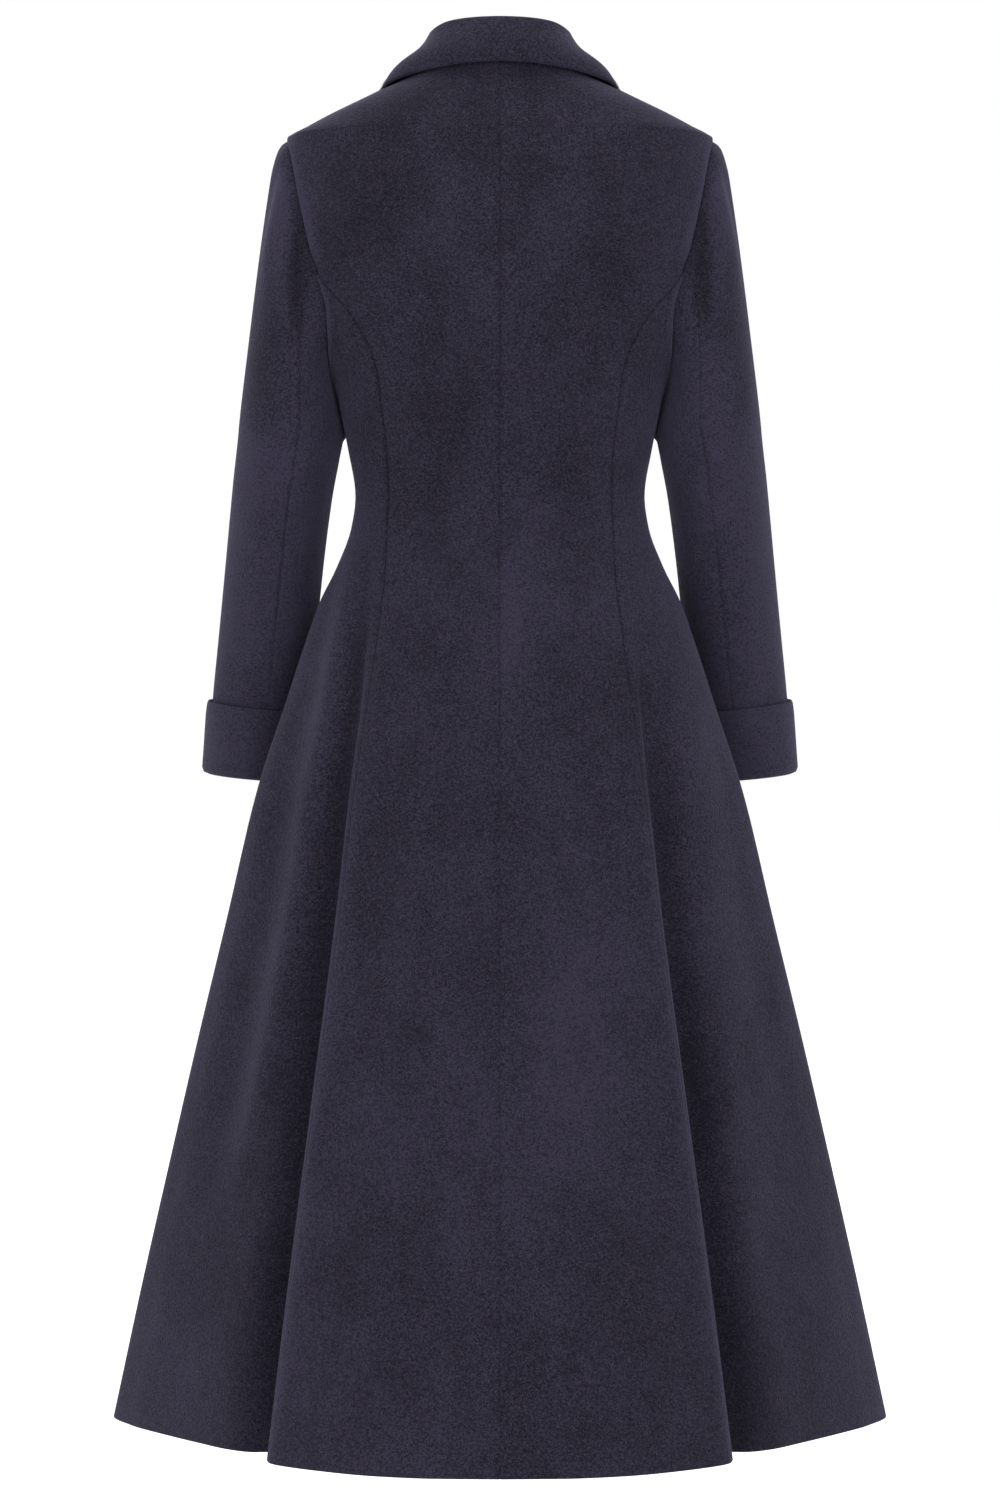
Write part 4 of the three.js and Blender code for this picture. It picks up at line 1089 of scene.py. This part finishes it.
def collar_column(w):
    """One level cut through the collar, from the neck seam over the roll to the edge."""
    row = {key: float(value) for key, value in collar_at(w).items()}
    at, edge_at = seams_at(w), seams_at(row["edge_w"])
    neck = body_points(at, back_top(at) if w <= 1 else front_top(at))
    away = unit(np.array([neck[0], neck[1] - NECK_CENTRE_Y, 0]))
    edge = body_points(edge_at, row["edge_z"]) + body_normals(edge_at, row["edge_z"]) * row["lift"]
    foot = neck - away * COLLAR_CLOTH / 2 + (0, 0, COLLAR_LIFT)
    stand = foot - away * row["lean"]
    stand[2] = row["roll"] - COLLAR_ROLL
    profile = [mix(foot, stand, share) for share in STAND_SHARES]
    for degrees in ROLL_DEGREES:
        turn = math.radians(degrees)
        lean = away * (COLLAR_ROLL + COLLAR_ROLL * math.cos(turn))
        profile.append(stand + lean + (0, 0, COLLAR_ROLL * math.sin(turn)))
    rolled = profile[-1]
    fall = edge - rolled
    proud = unit(np.cross(fall, (-away[1], away[0], 0)))
    for share in FALL_SHARES:
        swell = row["belly"] * math.sin(math.pi * share) - row["wave"] * math.sin(2 * math.pi * share)
        profile.append(rolled + fall * share + proud * swell)
    return profile


def collar_sheet():
    left = np.array([collar_column(w) for w in COLLAR_PLACES[::-1]])
    outer = np.concatenate([left, left[-2::-1] * MIRROR])
    outer[0] += unit(outer[1] - outer[0]) * COLLAR_END_GAP / 2
    outer[-1] += unit(outer[-2] - outer[-1]) * COLLAR_END_GAP / 2
    normal = unit(np.cross(np.gradient(outer, axis=1), np.gradient(outer, axis=0)))
    return outer, normal


outer, normal = collar_sheet()
collar_columns, collar_rows = outer.shape[:2]
tone_and_light = np.zeros((collar_columns, collar_rows))
rounded = ("top", "first", "last")
collar = sewn_sheet("collar_cloth", outer, normal, tone_and_light, ["collar"], thickness=COLLAR_CLOTH, soft=rounded)

# Buttons
# Five domed discs covered in the coat cloth, in a row down the centre front. Each is sewn to
# the left front by a short thread that comes out through its hole in the right one.
BUTTON_LEVELS = (-158.0, -278.0, -398.0, -518.0, -638.0)
BUTTON_OUTLINE = [
    (8, 0), (11.5, 0.1), (13.2, 0.6), (14, 1.6), (13.9, 2.6), (13.2, 3.5), (11.8, 4.4), (10, 5.05),
    (7.5, 5.6), (5, 5.95), (2.5, 6.15),
]
BUTTON_HEIGHT = 6.2
BUTTON_SIDES = 48
BUTTON_STANDOFF = 0.7
button_cloth = brushed_wool("button_cloth")


def covered_button(number, z):
    facing = body_normals(4.0, z)
    seat = body_points(4.0, z) + facing * (LAP_LIFT + BUTTON_STANDOFF)
    side_way = unit(np.cross(facing, (1, 0, 0)))
    cross_way = np.cross(facing, side_way)
    points = [seat]
    for across, up in BUTTON_OUTLINE:
        for i in range(BUTTON_SIDES):
            turn = 2 * math.pi * i / BUTTON_SIDES
            spoke = math.cos(turn) * side_way + math.sin(turn) * cross_way
            points.append(seat + facing * up + across * spoke)
    points.append(seat + facing * BUTTON_HEIGHT)
    last = len(points) - 1
    ring = np.arange(1, last).reshape(-1, BUTTON_SIDES)
    faces = []
    for i in range(BUTTON_SIDES):
        j = (i + 1) % BUTTON_SIDES
        faces.append((0, ring[0, j], ring[0, i]))
        faces += [(low[i], low[j], high[j], high[i]) for low, high in zip(ring, ring[1:])]
        faces.append((ring[-1, i], ring[-1, j], last))
    piece = mesh_object(f"covered_button_{number}", np.array(points) / 1000, faces, button_cloth)
    hand_over(piece, [f"button_{number}"])


for number, z in enumerate(BUTTON_LEVELS, 1):
    covered_button(number, z)

# Buttonholes
# Each is cut level into the right front, outward from the centre line, and closed round by
# hand in a matching silk twist, one stitch beside the next with a knot at the cut's edge.
SLOT_FROM = -3.0
SLOT_TO = 27.0
SLOT_HALF = 0.35
SLOT_EYE = 0.9
EYE_DEGREES = range(100, 261, 20)
BAR_OUT = 0.5
BAR_LEVELS = (-1.2, -0.4, 0.4, 1.2)
STITCH_STEP = 0.75
STITCH_REACH = 1.5
STITCH_SIDES = 6
STITCH_RINGS = ((0, 0, 0.32), (0.25, 0, 0.5), (0.75, 0, 0.5), (1, 0, 0.32))
TWIST_WIDTH = 0.62
TWIST_LIFT = 0.22
silk_twist, twist_shader, _ = new_material("silk_twist")
twist_shader.inputs["Base Color"].default_value = (0.012, 0.0105, 0.020, 1)
twist_shader.inputs["Roughness"].default_value = 0.5


def front_face(x, z):
    """A point of the lapped right front and its outward direction, x millimetres from the
    centre line towards the wearer's right."""
    at = 4.0 - x / seam_width(z)
    point, facing = body_points(at, z), body_normals(at, z)
    return (point + facing * lap_lift(x)) * MIRROR, facing * MIRROR


def slot_outline():
    """Places round the cut and the way each stitch points: down each lip, round the eye by
    the button, and across the bar at the other end."""
    straight = np.arange(SLOT_FROM, SLOT_TO, STITCH_STEP)
    stitches = [(x, SLOT_HALF, (0, 1)) for x in straight]
    stitches += [(x, -SLOT_HALF, (0, -1)) for x in straight[::-1]]
    for degrees in EYE_DEGREES:
        turn = math.radians(degrees)
        way = (math.cos(turn), math.sin(turn))
        stitches.append((SLOT_FROM + SLOT_EYE * way[0], SLOT_EYE * way[1], way))
    return stitches + [(SLOT_TO + BAR_OUT, level, (1, 0)) for level in BAR_LEVELS]


def tube(rings, sides):
    """Points and faces of a tube along X, from rows of place, lean to one side and
    thickness, with a flat end at both."""
    points = []
    for along, lean, thick in rings:
        for k in range(sides):
            turn = 2 * math.pi * k / sides
            points.append((along, lean + thick * math.cos(turn), thick * math.sin(turn)))
    closed = np.pad(np.arange(len(points)).reshape(-1, sides), ((0, 0), (0, 1)), "wrap")
    ends = [closed[0, :-1][::-1].tolist(), closed[-1, :-1].tolist()]
    return np.array(points), grid_faces(closed).tolist() + ends


def buttonhole(number, z):
    thread, thread_faces = tube(STITCH_RINGS, STITCH_SIDES)
    points, faces = [], []
    for x, up, (way_x, way_z) in slot_outline():
        base, facing = front_face(x, z + up)
        tip, _ = front_face(x + way_x * STITCH_REACH, z + up + way_z * STITCH_REACH)
        along = tip - base
        side_way = unit(np.cross(facing, along))
        swell = thread[:, 1:2] * side_way + thread[:, 2:] * facing
        faces += [[corner + len(points) for corner in face] for face in thread_faces]
        points += list(base + facing * TWIST_LIFT + thread[:, :1] * along + swell * TWIST_WIDTH)
    piece = mesh_object(f"buttonhole_{number}", np.array(points) / 1000, faces, silk_twist)
    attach(piece, "root")


for number, z in enumerate(BUTTON_LEVELS, 1):
    buttonhole(number, z)

# Raised nap
# Short wool ends that stand off the cloth where its brushed face is rubbed up: along the
# collar's edge and along both edges of the cuffs.
NAP_LENGTH = 0.0017
NAP_SIDES = 3
NAP_LEVELS = ((0, 0.0, 0.028), (0.5, 0.10, 0.022), (0.85, 0.32, 0.012))
NAP_TIP = (1.0, 0.5, 0)
NAP_TURNS = (0.9, 0.9, 3.14)
NAP_SIZES = (0.45, 1.15)
ENDS_PER_SQUARE_METRE = 9e5
wool_ends, ends_shader, _ = new_material("wool_ends")
ends_shader.inputs["Base Color"].default_value = (0.022, 0.019, 0.036, 1)
ends_shader.inputs["Roughness"].default_value = 0.9


def nap_fibre():
    """One wool end, a bent hair that stands on Z and tapers to a point."""
    points, faces = tube(NAP_LEVELS, NAP_SIDES)
    last = faces.pop()
    faces += [(last[k - 1], last[k], len(points)) for k in range(NAP_SIDES)]
    points = np.concatenate([points, [NAP_TIP]])
    return mesh_object("nap_fibre", points[:, [1, 2, 0]] * NAP_LENGTH, faces, wool_ends)


def nap_tree(fibre):
    """Scatters the fibre over a strip of cloth and joins it all as one mesh."""
    tree = bpy.data.node_groups.new("raised_nap", "GeometryNodeTree")
    for name, way, kind in (
        ("Strip", "INPUT", "Geometry"), ("Ends per square metre", "INPUT", "Float"),
        ("Seed", "INPUT", "Int"), ("Nap", "OUTPUT", "Geometry"),
    ):
        tree.interface.new_socket(name, in_out=way, socket_type="NodeSocket" + kind)

    def add(kind, settings=(), **values):
        made = tree.nodes.new(kind)
        for key, value in dict(settings).items():
            setattr(made, key, value)
        for key, value in values.items():
            made.inputs[key].default_value = value
        return made

    start, end = add("NodeGroupInput"), add("NodeGroupOutput")
    scatter = add("GeometryNodeDistributePointsOnFaces", {"distribute_method": "RANDOM"})
    turn = add("FunctionNodeRandomValue", {"data_type": "FLOAT_VECTOR"}, Seed=5)
    turn.inputs[0].default_value = [-most for most in NAP_TURNS]
    turn.inputs[1].default_value = NAP_TURNS
    size = add("FunctionNodeRandomValue", Seed=9)
    size.inputs[2].default_value, size.inputs[3].default_value = NAP_SIZES
    lean = add("FunctionNodeRotateRotation", {"rotation_space": "LOCAL"})
    info = add("GeometryNodeObjectInfo", Object=fibre)
    place = add("GeometryNodeInstanceOnPoints")
    joined = add("GeometryNodeRealizeInstances")
    painted = add("GeometryNodeSetMaterial", Material=wool_ends)
    for out, slot in (
        (start.outputs[0], scatter.inputs["Mesh"]), (start.outputs[1], scatter.inputs["Density"]),
        (start.outputs[2], scatter.inputs["Seed"]), (scatter.outputs["Points"], place.inputs["Points"]),
        (scatter.outputs["Rotation"], lean.inputs[0]), (turn.outputs[0], lean.inputs[1]),
        (lean.outputs[0], place.inputs["Rotation"]), (size.outputs[1], place.inputs["Scale"]),
        (info.outputs["Geometry"], place.inputs["Instance"]), (place.outputs[0], joined.inputs[0]),
        (joined.outputs[0], painted.inputs[0]), (painted.outputs[0], end.inputs[0]),
    ):
        tree.links.new(out, slot)
    return tree


def raised_nap(name, cloth_piece, chosen, seed):
    """Nap over the chosen faces of a piece, joined as one mesh of its own."""
    mesh = cloth_piece.data
    faces = [tuple(mesh.polygons[int(i)].vertices) for i in chosen]
    used = sorted({corner for face in faces for corner in face})
    place = {corner: i for i, corner in enumerate(used)}
    points = [mesh.vertices[corner].co for corner in used]
    strip = mesh_object(name, points, [[place[corner] for corner in face] for face in faces])
    grow = strip.modifiers.new("nap", "NODES")
    grow.node_group = nap_nodes
    sockets = {item.name: item.identifier for item in nap_nodes.interface.items_tree}
    grow[sockets["Ends per square metre"]] = ENDS_PER_SQUARE_METRE
    grow[sockets["Seed"]] = seed
    grown = bpy.data.meshes.new_from_object(strip.evaluated_get(bpy.context.evaluated_depsgraph_get()))
    strip.modifiers.clear()
    strip.data = grown
    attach(strip, "root")


fibre = nap_fibre()
nap_nodes = nap_tree(fibre)
collar_shape = (collar_columns - 1, collar_rows - 1)
collar_faces = np.arange(math.prod(collar_shape)).reshape(collar_shape)
collar_rim = np.arange(2 * collar_faces.size, len(collar.data.polygons))
collar_edge = [collar_faces[:, -2:].ravel(), collar_faces[0], collar_faces[-1], collar_rim]
raised_nap("collar_nap", collar, np.concatenate(collar_edge), 1)
for side, seed in (("left", 2), ("right", 3)):
    raised_nap(f"cuff_nap_{side}", cuffs[side], cuff_edge_faces, seed)
bpy.data.objects.remove(fibre)
